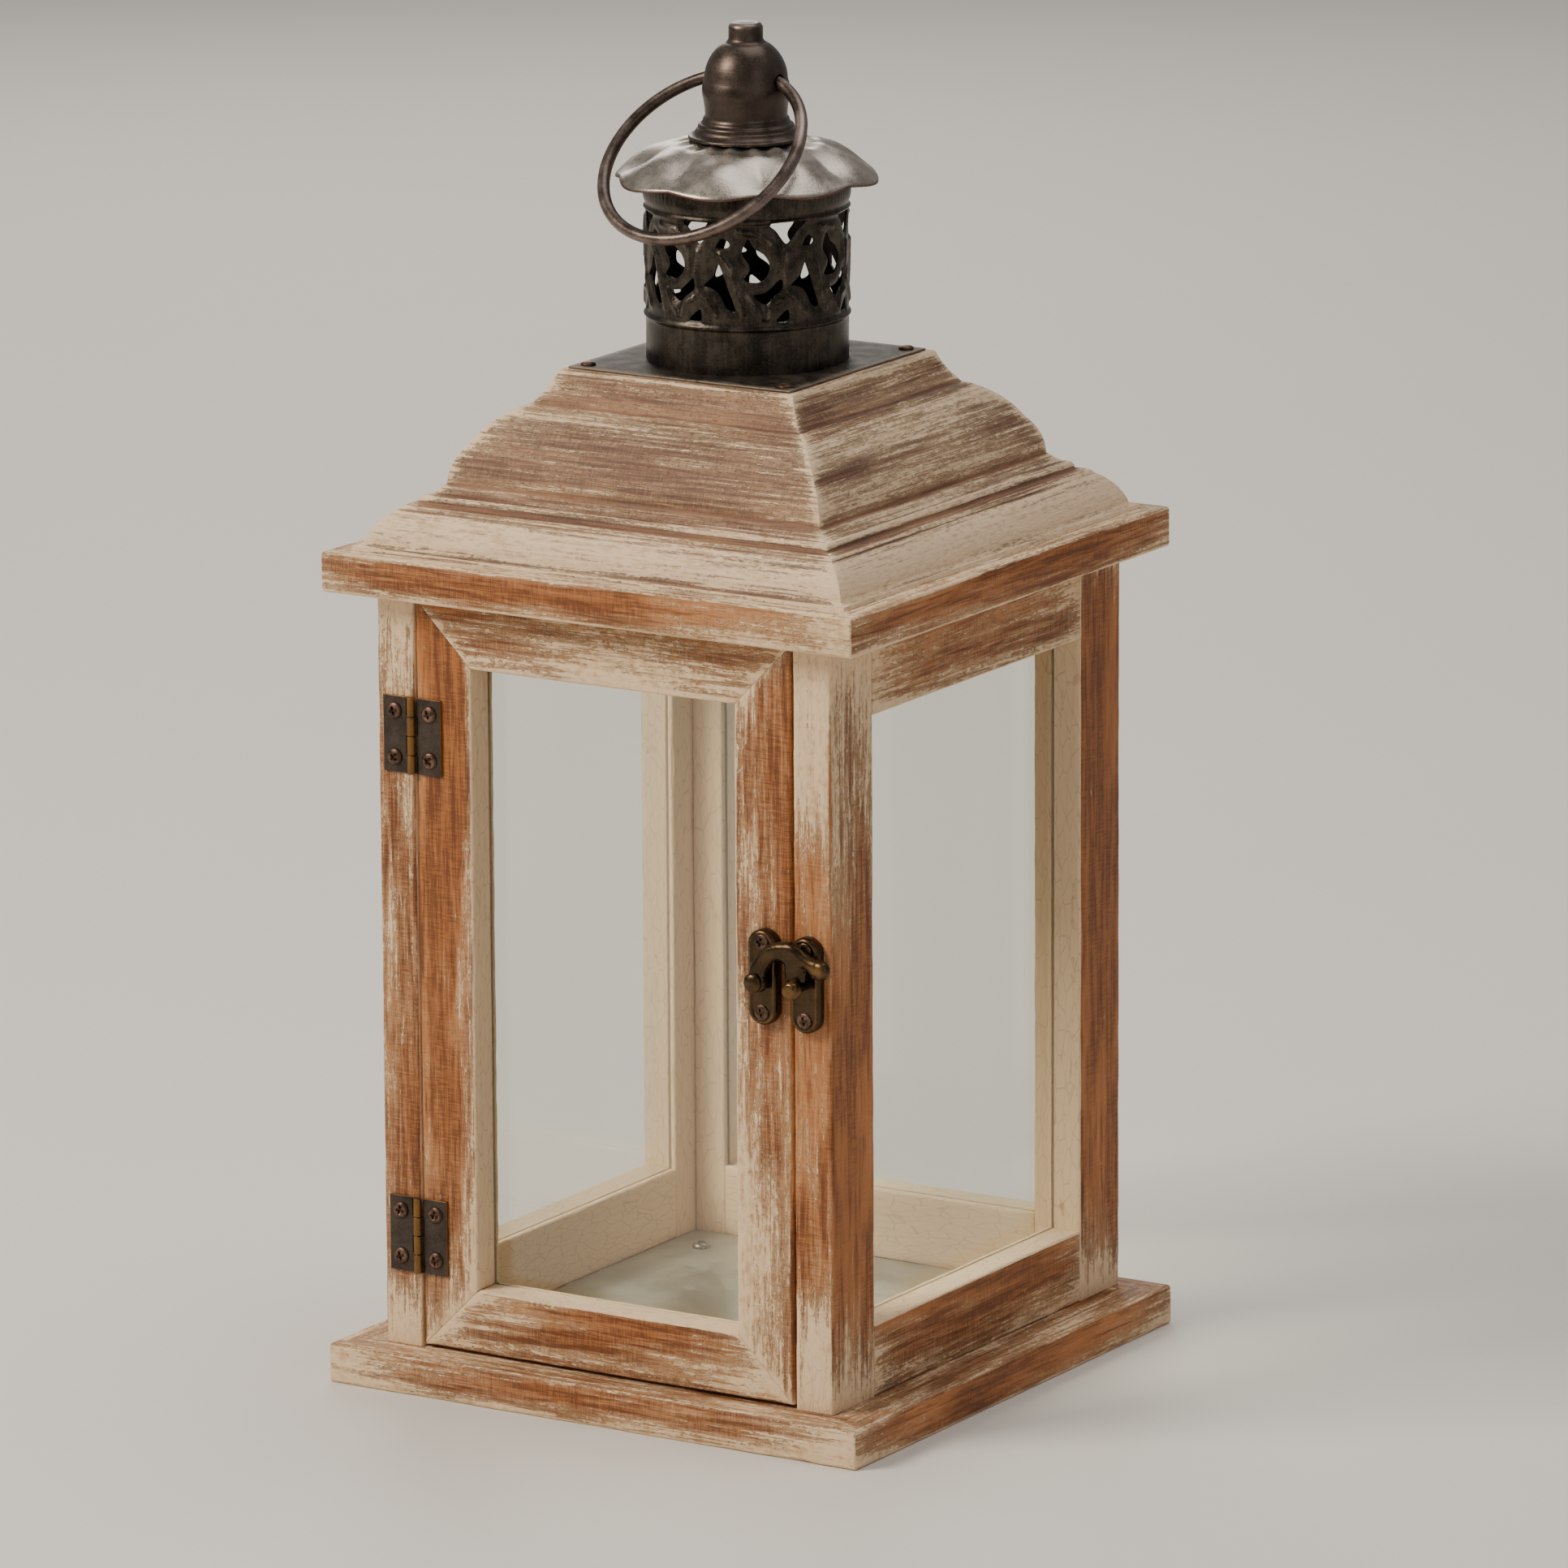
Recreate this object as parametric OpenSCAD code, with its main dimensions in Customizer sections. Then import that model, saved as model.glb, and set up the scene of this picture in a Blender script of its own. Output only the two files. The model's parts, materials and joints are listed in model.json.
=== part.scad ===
// Hanging wooden candle lantern with a glazed door, a pierced metal chimney and a ring to hang it by.
// Millimetres. The origin is at the middle of the underside, +Z is up, and the door faces -Y.

/* [Base and eave boards] */
// Side of the square base board
base_w = 203; // [200:1:212]
// Thickness of the base board
base_t = 13.3; // [12:0.1:16]
// Side of the square eave board under the roof
eave_w = 201.4; // [198:0.2:210]
// Thickness of the eave board
eave_t = 13.4; // [12:0.1:16]
// Diameter of the smoke hole in the eave board
smoke_hole_d = 60; // [50:1:62]

/* [Body] */
// Width of the body across the door side
body_w = 172; // [168:1:176]
// Depth of the body from the door to the back
body_d = 183; // [176:1:186]
// Height of the body from the base board to the eave board
body_h = 252.2; // [240:0.2:280]
// How far the base board stands out in front of the door
front_step = 11.5; // [9:0.5:13]
// Thickness of the framing timber
timber_t = 14; // [13.5:0.5:16]
// Width of the side frames' upright stiles
side_stile_w = 26; // [24:1:30]
// Width of the back frame's upright stiles
back_stile_w = 12; // [11:0.5:16]
// Height of the bottom rails
rail_bottom_h = 24.2; // [22:0.2:30]
// Height of the top rails
rail_top_h = 26.8; // [22:0.2:30]

/* [Door] */
// Width of the door's four mitred members
door_member_w = 21; // [19:0.5:24]
// Gap round the door
door_gap = 1; // [0.8:0.1:1.5]

/* [Glass] */
// Thickness of the panes
glass_t = 2; // [1.6:0.1:2.2]
// Depth of the groove below the timber's outer face
groove_set_back = 10; // [9.5:0.5:10.5]
// How far the groove is cut into the timber's edge
groove_depth = 4; // [3:0.5:5]

/* [Roof] */
// Height of the roof mouldings above the eave board
roof_h = 56.2; // [55:0.2:60]
// Side of the square chimney plate
plate_w = 84.5; // [80:0.5:86]
// Thickness of the chimney plate
plate_t = 0.8; // [0.6:0.1:1.2]

/* [Chimney] */
// Radius of the pierced drum
drum_r = 33; // [32:0.25:34]
// Height of the drum from the plate to the cap
drum_h = 66; // [64:0.1:68]
// Thickness of the drum's and the bell's sheet metal
sheet_t = 1; // [0.8:0.1:1.2]
// Number of times the drum's cut-out pattern repeats
drum_repeats = 7; // [5:1:8]
// Radius of the cap's rim
cap_r = 43.5; // [42:0.25:44]

/* [Hanging ring] */
// Radius of the ring to the middle of its wire
ring_r = 34.85; // [34.6:0.05:35.2]
// Diameter of the ring's wire
wire_d = 4.2; // [3.6:0.1:4.2]
// Angle between the hanging ring and straight down
ring_lean = 48; // [48:0.5:60]
// Turn of the ring's holes about the vertical, from the side-to-side line
ring_yaw = -4.5; // [-12:0.5:12]

/* [Hinges] */
// Height of each hinge
hinge_h = 25.4; // [22:0.1:30]
// Width of one leaf, from the pin's axis
leaf_w = 11.1; // [10.5:0.1:12]
// Thickness of the leaves
leaf_t = 1; // [0.8:0.1:1.2]
// Diameter of the hinge pins
pin_d = 1.6; // [1.4:0.1:1.8]
// Height of the lower hinge's middle above the ground
hinge_low_z = 51.5; // [45:0.1:60]
// Height of the upper hinge's middle above the ground
hinge_high_z = 219.2; // [205:0.1:222]

/* [Latch] */
// Height of the latch's middle above the ground
latch_z = 155.5; // [120:0.5:180]
// Length of the latch plate and of the keeper plate
latch_l = 31.5; // [29:0.5:34]
// Width of the latch plate and of the keeper plate
latch_w = 10.8; // [10:0.2:12]
// Thickness of the latch plate and of the keeper plate
latch_t = 4; // [3.6:0.1:4.2]
// Distance between the hook's rivet and the keeper's horn
latch_reach = 16; // [15.5:0.25:16.5]

/* [Floor] */
// Thickness of the floor plate
floor_t = 0.8; // [0.6:0.1:1.2]
// Bare margin between the floor plate and the frames
floor_margin = 1.5; // [1:0.25:3]

/* [Hidden] */
$fn = 64;
ARC_STEPS = 6;
CUT = 1;
SKIN = 0.001;
LAP = 0.1;
WALL_CUT_L = 8;

// Clearances
groove_gap = 0.2;
pane_edge_gap = 0.5;
screw_gap = 0.05;
screw_end_gap = 0.5;
sheet_hole_gap = 0.1;
pin_gap = 0.05;
knuckle_gap = 0.15;
door_end_gap = 0.2;
floor_front_gap = 3;

// Levels
z_floor = base_t;
z_eave = base_t + body_h;
z_roof = z_eave + eave_t;
z_plate = z_roof + roof_h;
z_drum = z_plate + plate_t;

// Body faces
body_x = body_w / 2;
front_y = -base_w / 2 + front_step;
back_y = front_y + body_d;
inner_x = body_x - timber_t;
rail_top_z = z_eave - rail_top_h;
rail_bottom_z = z_floor + rail_bottom_h;

// Door
door_x = inner_x - door_gap;
door_z0 = z_floor + door_gap + door_end_gap;
door_z1 = z_eave - door_gap - door_end_gap;

// Wood screws: shank length, shank diameter, head diameter and head height
FRAME_SCREW = [32, 3.5, 7, 3];
HINGE_SCREW = [9, 2.4, 5.6, 1.2];
LATCH_SCREW = [12, 2.4, 5.2, 1.8];
FLOOR_SCREW = [9, 3, 6.2, 2.2];
PLATE_NAIL = [14, 1.6, 5, 1.3];

// Shares of a head's height that its straight rim takes, and of its diameter that its top face, its
// cross recess and one slot of the recess take; the recess's depth as a share of the head's height;
// and the share of a shank's diameter that is left at its tip
HEAD_RIM = 0.5;
HEAD_TOP = 0.62;
RECESS_W = 0.6;
SLOT_W = 0.12;
RECESS_DEPTH = 0.5;
TIP_W = 0.2;
frame_screw_x = body_x - timber_t / 2;
frame_screw_ys = [front_y + side_stile_w / 2, back_y - side_stile_w / 2];

// Roof moulding outline: distance from the lantern's middle, height above the eave board, and the
// bulge of the stretch that leads to the next point
roof_foot = 93.5;
roof_crest = 44.4;
roof_mouth = 35;
roof_inner_foot = 79;
roof_outline = [
    [roof_foot, 0, 0], [roof_foot - 0.5, 1.2, -0.8], [90.4, 3.1, 1.1], [82.3, 12.7, 0.4],
    [80.2, 14, 0], [78.2, 14.3, 0], [77.6, 14.9, 0.7], [75.6, 17, -0.3],
    [72.2, 19.2, 0], [70.9, 20.2, 1.3], [65.7, 32.9, 1.2], [53.8, 44.3, 0.2],
    [50.8, 45.3, 0], [49.8, 46.7, -0.5], [roof_crest + 0.3, 55.6, 0], [roof_crest - 0.4, roof_h, 0],
    [roof_mouth, roof_h, 0], [roof_mouth, roof_h - 6, 0], [roof_inner_foot, 0, 0]
];

// Chimney plate nails and drum heights
nail_at = 37.5;
drum_band_h = 14.2;
drum_collar_h = 51;
collar_r = drum_r + 0.8;
drum_foot_r = drum_r - 8;

// Cut-outs of one repeat of the drum's pattern: their outlines, and their middles' heights above the plate
fan_cut = [[-7, 6], [7, 6], [1.5, -6], [-1.5, -6]];
fan_cut_h = 38;
leaf_cut = [[-4.5, -3], [3, -5], [4.5, 3], [-2, 5]];
leaf_cut_h = 25;
foot_cut = [[-4, -2.5], [4, -2.5], [2.5, 4.5]];
foot_cut_h = 20;
big_cut_d = 8;
big_cut_h = 31;
small_cut_d = 5;
small_cut_h = 40;

// Cap: its top falls from the flat middle to the slope, the bend and the rim
cap_t = 1;
cap_slope_r = 25;
cap_slope_drop = 1.6;
cap_bend_r = 38;
cap_bend_drop = 8.2;
cap_rim_drop = 12.2;
cap_seat_gap = 0.05;

// How far below the middle of the cap's top its underside is, on the slope at radius r
function cap_under(r) =
    cap_t + cap_slope_drop
    + (r - cap_slope_r) * (cap_bend_drop - cap_slope_drop) / (cap_bend_r - cap_slope_r);

// Drum outline: radius, height above the chimney plate and bulge, up the outside and down the inside
drum_lip_h = drum_h + cap_under(drum_r - sheet_t) - cap_under(drum_r);
drum_outline = [
    [drum_r - sheet_t, 0, 0], [drum_r, 0, 0], [drum_r, drum_band_h, 0.6], [drum_r, drum_band_h + 2, 0],
    [drum_r, drum_collar_h - 1.6, 0.6], [drum_r, drum_collar_h, 0], [collar_r, drum_collar_h + 3, 0.4],
    [collar_r, drum_collar_h + 9, 0], [drum_r, drum_lip_h, 0], [drum_r - sheet_t, drum_h, 0]
];

// Bell
z_cap = z_drum + drum_h + cap_seat_gap + cap_under(drum_r - sheet_t);
bell_flange_r = 18.6;
finial_screw_d = 4;
bell_boss_r = 5;
bell_boss_h = 9.5;
bell_bore_r = finial_screw_d / 2 + screw_gap;

// Bell outline: radius, height above the cap and bulge, up the outside and down the inside
bell_outline = [
    [bell_bore_r, 0, 0], [bell_flange_r, 0, 0.3], [bell_flange_r, 1.1, -0.35], [16.2, 3.2, 0],
    [15.7, 3.5, 0.25], [15.1, 4.9, -0.15], [14.2, 5.9, 0.15], [13.4, 7.4, -0.15],
    [14, 13.2, 0.5], [13.6, 19.4, 1.6], [7.4, 31, -0.3], [5.6, 32.6, 0],
    [5.6, 35.6, 0.8], [3.4, 37.8, 0.2], [0, 38.2, 0],
    [0, 30, 0], [5, 29.4, -1.2], [12.4, 19, -0.3], [12.4, 12, 0], [11.4, 8, 0],
    [bell_boss_r, 2.5, 0], [bell_boss_r, bell_boss_h, 0], [bell_bore_r, bell_boss_h, 0]
];
bell_hole_z = z_cap + 19.2;
bell_mid_r = 13.1;
bell_hole_d = 5.6;
finial_screw_l = 10;
finial_head_h = 2.5;
washer_r = 8;
washer_t = 1;

// Hinges
pin_aside = 0.8;
pin_x = -(inner_x + door_x) / 2 - pin_aside;
knuckle_r = pin_d / 2 + 0.6;
pin_y = front_y - knuckle_r - 0.05;
knuckles = 4;
leaf_notch = knuckle_r + 0.3;
hinge_screw_x = 6.7;
hinge_screw_z = 7.7;

// Latch
latch_x = 62.1;
keeper_x = latch_x + latch_reach;
plate_lift = 0.6;
keeper_lift = -0.2;
latch_screw_z = latch_l / 2 - 4.2;
rivet_d = 3;
rivet_head_d = 6.4;
rivet_head_h = 2;
hook_back = latch_t + 0.1;
hook_t = 4.6;
hook_front = hook_back + hook_t;
eye_d = 7.6;
knob_d = 6.4;
knob_t = hook_t + 0.2;
knob_at = [latch_reach + 8, 6.5];

// Keeper's horn: radius and distance out from the wood
stem_d = 3.2;
horn_neck = hook_front + 0.5;
horn_outline = [
    [0, 0, 0], [stem_d / 2, 0, 0], [stem_d / 2, horn_neck, 0], [2.8, horn_neck + 0.7, 0.2],
    [3.1, horn_neck + 2.3, 0.3], [2.1, horn_neck + 4.2, 0.1], [0, horn_neck + 4.3, 0]
];

// Hook outline, with its rivet at the origin: an arched arm, a thumb knob, a foot that rests on the
// horn's stem, and a tooth that hangs in front of it
foot_z = stem_d / 2 + 0.1;
tooth_x = latch_reach - stem_d / 2 - 0.5;
hook_outline = [
    [-3.2, 0.4, -0.9], [0.6, 9, -1.3], [10, 14.2, -1], [latch_reach + 1.2, 12.4, 0.5],
    [knob_at[0] - 0.6, 9.8, 0], [knob_at[0] + 2, 4.3, 0], [knob_at[0] - 3, 3.3, 0.3],
    [latch_reach + 2.6, 6.2, 0], [latch_reach + 2, foot_z, 0], [tooth_x, foot_z, 0],
    [tooth_x, -0.4, -0.6], [tooth_x - 2.9, -0.4, 0], [tooth_x - 3.1, 6.8, 0.9],
    [6.2, 7, 0.6], [3.2, 1.2, 0], [2.8, -1.4, 0], [-2.6, -1.9, 0]
];

// Floor plate
door_back_y = front_y + timber_t;
back_inner_y = back_y - timber_t;
floor_x = inner_x - floor_margin;
floor_y0 = door_back_y + floor_front_gap;
floor_y1 = back_inner_y - floor_margin;
floor_screw_x = 57;
floor_screw_ys = [-57, 59];
drain_hole = [-36, -25];
drain_hole_d = 7;

// ---- Outlines with round stretches ----

// Points from p towards q, along an arc that stands out by bulge to the right of the way from p to q
function stretch(p, q, bulge) =
    bulge == 0 ? [p] :
    let (
        way = q - p,
        chord = norm(way),
        radius = (chord * chord / 4 + bulge * bulge) / (2 * bulge),
        right = [way[1], -way[0]] / chord,
        middle = (p + q) / 2 + right * (bulge - radius),
        sweep = 4 * atan(2 * bulge / chord),
        arm = p - middle
    )
    [for (i = [0:ARC_STEPS - 1])
        let (a = sweep * i / ARC_STEPS)
        middle + [arm[0] * cos(a) - arm[1] * sin(a), arm[0] * sin(a) + arm[1] * cos(a)]];

function outline(points) =
    [for (i = [0:len(points) - 1])
        let (p = points[i], q = points[(i + 1) % len(points)])
        each stretch([p[0], p[1]], [q[0], q[1]], p[2])];

// ---- Screws and nails: the head's seat is at z = 0 and the tip points down ----

module shank(length, d, tip = 2) {
    translate([0, 0, -length + tip]) cylinder(h = length - tip, d = d);
    translate([0, 0, -length]) cylinder(h = tip, d1 = d * TIP_W, d2 = d);
}

// The cross in a head of diameter d and height h
module cross_recess(d, h) {
    for (a = [0, 90]) rotate([0, 0, a])
        cube([d * RECESS_W, d * SLOT_W, 2 * h * RECESS_DEPTH], center = true);
}

// A domed head on z = 0, of diameter d and height h
module domed_head(d, h) {
    rim = h * HEAD_RIM;
    cylinder(h = rim, d = d);
    translate([0, 0, rim]) cylinder(h = h - rim, d1 = d, d2 = d * HEAD_TOP);
}

module pan_screw(s) {
    difference() {
        union() {
            domed_head(s[2], s[3]);
            shank(s[0], s[1]);
        }
        translate([0, 0, s[3]]) cross_recess(s[2], s[3]);
    }
}

module flat_screw(s) {
    difference() {
        union() {
            translate([0, 0, -s[3]]) cylinder(h = s[3], d1 = s[1], d2 = s[2]);
            shank(s[0], s[1]);
        }
        cross_recess(s[2], s[3]);
    }
}

module flat_screw_hole(s) {
    grow = 2 * screw_gap;
    l = s[0] + screw_end_gap;
    translate([0, 0, -s[3]]) cylinder(h = s[3] + SKIN, d1 = s[1] + grow, d2 = s[2] + grow);
    translate([0, 0, -l]) cylinder(h = l, d = s[1] + grow);
}

module shank_hole(s, length = 0) {
    l = length > 0 ? length : s[0] + screw_end_gap;
    translate([0, 0, -l]) cylinder(h = l + CUT, d = s[1] + 2 * screw_gap);
}

module at_base_screws() {
    for (x = [-1, 1], y = frame_screw_ys)
        translate([x * frame_screw_x, y, 0]) rotate([180, 0, 0]) children();
}

module at_eave_screws() {
    for (x = [-1, 1], y = frame_screw_ys) translate([x * frame_screw_x, y, z_roof]) children();
}

module at_floor_screws() {
    for (x = [-1, 1], y = floor_screw_ys) translate([x * floor_screw_x, y, z_floor + floor_t]) children();
}

module at_nails() {
    for (x = [-1, 1], y = [-1, 1]) translate([x * nail_at, y * nail_at, z_plate + plate_t]) children();
}

module frame_screws_base() {
    color("dimgray") at_base_screws() flat_screw(FRAME_SCREW);
}

module frame_screws_eave() {
    color("dimgray") at_eave_screws() flat_screw(FRAME_SCREW);
}

module floor_screws() {
    color("silver") at_floor_screws() pan_screw(FLOOR_SCREW);
}

module chimney_nails() {
    color("saddlebrown") at_nails() {
        domed_head(PLATE_NAIL[2], PLATE_NAIL[3]);
        shank(PLATE_NAIL[0], PLATE_NAIL[1], 3);
    }
}

// ---- Base and eave ----

module base_board() {
    color("rosybrown") difference() {
        translate([-base_w / 2, -base_w / 2, 0]) cube([base_w, base_w, base_t]);
        at_base_screws() flat_screw_hole(FRAME_SCREW);
        at_floor_screws() shank_hole(FLOOR_SCREW);
    }
}

module eave_board() {
    color("tan") difference() {
        translate([-eave_w / 2, -eave_w / 2, z_eave]) cube([eave_w, eave_w, eave_t]);
        translate([0, 0, z_eave - CUT]) cylinder(h = eave_t + 2 * CUT, d = smoke_hole_d);
        at_eave_screws() flat_screw_hole(FRAME_SCREW);
    }
}

// ---- Frame members ----
// A frame is drawn flat: u runs along it, its outer face is at w = 0 and it is timber_t deep,
// and z is up. The in_* modules stand it on its side of the lantern.

module in_right() { translate([body_x, 0, 0]) rotate([0, 0, 90]) children(); }
module in_left() { mirror([1, 0, 0]) in_right() children(); }
module in_back() { translate([0, back_y, 0]) rotate([0, 0, 180]) children(); }
module in_front() { translate([0, front_y, 0]) children(); }

module groove_bar(u0, u1, z0, z1) {
    translate([u0, groove_set_back, z0]) cube([u1 - u0, glass_t + groove_gap, z1 - z0]);
}

// An upright member from u0 to u1, with its glass groove cut into its edge at u = edge
module stile(u0, u1, z0, z1, edge) {
    difference() {
        translate([u0, 0, z0]) cube([u1 - u0, timber_t, z1 - z0]);
        if (edge == u1) groove_bar(u1 - groove_depth, u1 + CUT, z0 - CUT, z1 + CUT);
        if (edge == u0) groove_bar(u0 - CUT, u0 + groove_depth, z0 - CUT, z1 + CUT);
    }
}

// A level member from z0 to z1, with its glass groove cut into its edge at z = edge
module rail(u0, u1, z0, z1, edge) {
    difference() {
        translate([u0, 0, z0]) cube([u1 - u0, timber_t, z1 - z0]);
        if (edge == z1) groove_bar(u0 - CUT, u1 + CUT, z1 - groove_depth, z1 + CUT);
        if (edge == z0) groove_bar(u0 - CUT, u1 + CUT, z0 - CUT, z0 + groove_depth);
    }
}

// A pane that reaches into the grooves round an opening
module pane(u0, u1, z0, z1) {
    reach = groove_depth - pane_edge_gap;
    translate([u0 - reach, groove_set_back + groove_gap / 2, z0 - reach])
        cube([u1 - u0 + 2 * reach, glass_t, z1 - z0 + 2 * reach]);
}

side_u0 = front_y + side_stile_w;
side_u1 = back_y - side_stile_w;

module side_stile_front() {
    difference() {
        stile(front_y, side_u0, z_floor, z_eave, side_u0);
        translate([side_u0 - side_stile_w / 2, timber_t / 2, 0]) {
            rotate([180, 0, 0]) shank_hole(FRAME_SCREW);
            translate([0, 0, z_roof]) shank_hole(FRAME_SCREW);
        }
    }
}

module side_stile_back() {
    difference() {
        stile(side_u1, back_y, z_floor, z_eave, side_u1);
        translate([side_u1 + side_stile_w / 2, timber_t / 2, 0]) {
            rotate([180, 0, 0]) shank_hole(FRAME_SCREW);
            translate([0, 0, z_roof]) shank_hole(FRAME_SCREW);
        }
    }
}

module left_stile_front() {
    color("peru") difference() {
        in_left() side_stile_front();
        at_hinge_screws(-1) shank_hole(HINGE_SCREW);
    }
}

module left_stile_back() { color("peru") in_left() side_stile_back(); }
module left_rail_top() {
    color("tan") in_left() rail(side_u0, side_u1, rail_top_z, z_eave, rail_top_z);
}
module left_rail_bottom() {
    color("tan") in_left() rail(side_u0, side_u1, z_floor, rail_bottom_z, rail_bottom_z);
}
module left_glass() {
    color("lightcyan", 0.4) in_left() pane(side_u0, side_u1, rail_bottom_z, rail_top_z);
}

module right_stile_front() {
    color("peru") difference() {
        in_right() side_stile_front();
        at_keeper_screws() shank_hole(LATCH_SCREW);
    }
}

module right_stile_back() { color("peru") in_right() side_stile_back(); }
module right_rail_top() {
    color("tan") in_right() rail(side_u0, side_u1, rail_top_z, z_eave, rail_top_z);
}
module right_rail_bottom() {
    color("tan") in_right() rail(side_u0, side_u1, z_floor, rail_bottom_z, rail_bottom_z);
}
module right_glass() {
    color("lightcyan", 0.4) in_right() pane(side_u0, side_u1, rail_bottom_z, rail_top_z);
}

back_u = inner_x - back_stile_w;

module back_stile_left() { color("peru") in_back() stile(back_u, inner_x, z_floor, z_eave, back_u); }
module back_stile_right() { color("peru") in_back() stile(-inner_x, -back_u, z_floor, z_eave, -back_u); }
module back_rail_top() { color("tan") in_back() rail(-back_u, back_u, rail_top_z, z_eave, rail_top_z); }
module back_rail_bottom() {
    color("tan") in_back() rail(-back_u, back_u, z_floor, rail_bottom_z, rail_bottom_z);
}
module back_glass() { color("lightcyan", 0.4) in_back() pane(-back_u, back_u, rail_bottom_z, rail_top_z); }

// ---- Door ----

// The part of the door's front that belongs to one member: the mitres run in from the corners
module mitre(points) {
    rotate([90, 0, 0]) translate([0, 0, -timber_t - CUT]) linear_extrude(timber_t + 2 * CUT) polygon(points);
}

door_in_x = door_x - door_member_w;
door_in_z0 = door_z0 + door_member_w;
door_in_z1 = door_z1 - door_member_w;

module door_stile(side) {
    in_front() intersection() {
        if (side < 0) stile(-door_x, -door_in_x, door_z0, door_z1, -door_in_x);
        else stile(door_in_x, door_x, door_z0, door_z1, door_in_x);
        mitre([[side * door_x, door_z0], [side * door_in_x, door_in_z0],
               [side * door_in_x, door_in_z1], [side * door_x, door_z1]]);
    }
}

module door_rail(z_out, z_in) {
    in_front() intersection() {
        rail(-door_x, door_x, min(z_out, z_in), max(z_out, z_in), z_in);
        mitre([[-door_x, z_out], [-door_in_x, z_in], [door_in_x, z_in], [door_x, z_out]]);
    }
}

module door_stile_hinge() {
    color("sienna") difference() {
        door_stile(-1);
        at_hinge_screws(1) shank_hole(HINGE_SCREW);
    }
}

module door_stile_latch() {
    color("sienna") difference() {
        door_stile(1);
        at_plate_screws() shank_hole(LATCH_SCREW);
    }
}

module door_rail_top() { color("burlywood") door_rail(door_z1, door_in_z1); }
module door_rail_bottom() { color("burlywood") door_rail(door_z0, door_in_z0); }
module door_glass() {
    color("lightcyan", 0.4) in_front() pane(-door_in_x, door_in_x, door_in_z0, door_in_z1);
}

// ---- Roof ----

module roof_moulding(turn) {
    color("tan") rotate([0, 0, turn]) translate([0, 0, z_roof]) difference() {
        intersection() {
            rotate([90, 0, 90]) translate([0, 0, -roof_foot])
                linear_extrude(2 * roof_foot) mirror([1, 0]) polygon(outline(roof_outline));
            translate([0, 0, -CUT]) linear_extrude(roof_h + 2 * CUT)
                polygon([[0, 0], [-roof_foot - CUT, -roof_foot - CUT], [roof_foot + CUT, -roof_foot - CUT]]);
        }
        translate([0, 0, -z_roof]) at_nails() shank_hole(PLATE_NAIL);
    }
}

module roof_front() { roof_moulding(0); }
module roof_right() { roof_moulding(90); }
module roof_back() { roof_moulding(180); }
module roof_left() { roof_moulding(270); }

// ---- Chimney ----

module chimney_plate() {
    color("darkslategray") difference() {
        translate([-plate_w / 2, -plate_w / 2, z_plate]) cube([plate_w, plate_w, plate_t]);
        translate([0, 0, z_plate - CUT]) cylinder(h = plate_t + 2 * CUT, r = drum_foot_r);
        at_nails() shank_hole(PLATE_NAIL, plate_t + CUT);
    }
}

// A hole through the drum's wall, cut from inside outwards at a height above the plate
module wall_cut(turn, height) {
    rotate([0, 0, turn]) translate([drum_r - WALL_CUT_L / 2, 0, height]) rotate([90, 0, 90]) children();
}

module chimney_drum() {
    step = 360 / drum_repeats;
    color("dimgray") translate([0, 0, z_drum]) difference() {
        rotate_extrude() polygon(outline(drum_outline));
        for (i = [0:drum_repeats - 1]) {
            wall_cut(i * step, fan_cut_h) linear_extrude(WALL_CUT_L) polygon(fan_cut);
            wall_cut(i * step, leaf_cut_h) linear_extrude(WALL_CUT_L) polygon(leaf_cut);
            wall_cut((i + 0.5) * step, foot_cut_h) linear_extrude(WALL_CUT_L) polygon(foot_cut);
            wall_cut((i + 0.5) * step, big_cut_h) cylinder(h = WALL_CUT_L, d = big_cut_d);
            wall_cut((i + 0.5) * step, small_cut_h) cylinder(h = WALL_CUT_L, d = small_cut_d);
        }
    }
}

module chimney_cap() {
    top = [[finial_screw_d / 2 + sheet_hole_gap, 0], [bell_flange_r, 0], [cap_slope_r, -cap_slope_drop],
           [cap_bend_r, -cap_bend_drop], [cap_r, -cap_rim_drop]];
    last = len(top) - 1;
    color("silver") translate([0, 0, z_cap]) rotate_extrude() polygon([
        for (p = top) [p[0], p[1] - cap_t],
        for (i = [0:last]) top[last - i]
    ]);
}

// ---- Finial and hanging ring ----

module ring_turned() { translate([0, 0, bell_hole_z]) rotate([0, 0, ring_yaw]) children(); }

module finial_bell() {
    color("dimgray") difference() {
        translate([0, 0, z_cap]) rotate_extrude() polygon(outline(bell_outline));
        ring_turned() rotate([0, 90, 0]) cylinder(h = 3 * bell_flange_r, d = bell_hole_d, center = true);
    }
}

module finial_washer() {
    color("gray") translate([0, 0, z_cap - cap_t - washer_t]) difference() {
        cylinder(h = washer_t, r = washer_r);
        translate([0, 0, -CUT])
            cylinder(h = washer_t + 2 * CUT, d = finial_screw_d + 2 * sheet_hole_gap);
    }
}

module finial_screw() {
    color("gray") translate([0, 0, z_cap - cap_t - washer_t]) difference() {
        union() {
            cylinder(h = finial_screw_l, d = finial_screw_d);
            rotate([180, 0, 0]) domed_head(2 * finial_screw_d, finial_head_h);
        }
        translate([0, 0, -finial_head_h]) cross_recess(2 * finial_screw_d, finial_head_h);
    }
}

module hanging_ring() {
    drop = sqrt(ring_r * ring_r - bell_mid_r * bell_mid_r);
    color("dimgray") ring_turned() rotate([-ring_lean, 0, 0]) translate([0, 0, -drop])
        rotate([90, 0, 0]) rotate_extrude() translate([ring_r, 0]) circle(d = wire_d);
}

// ---- Floor plate ----

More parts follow.
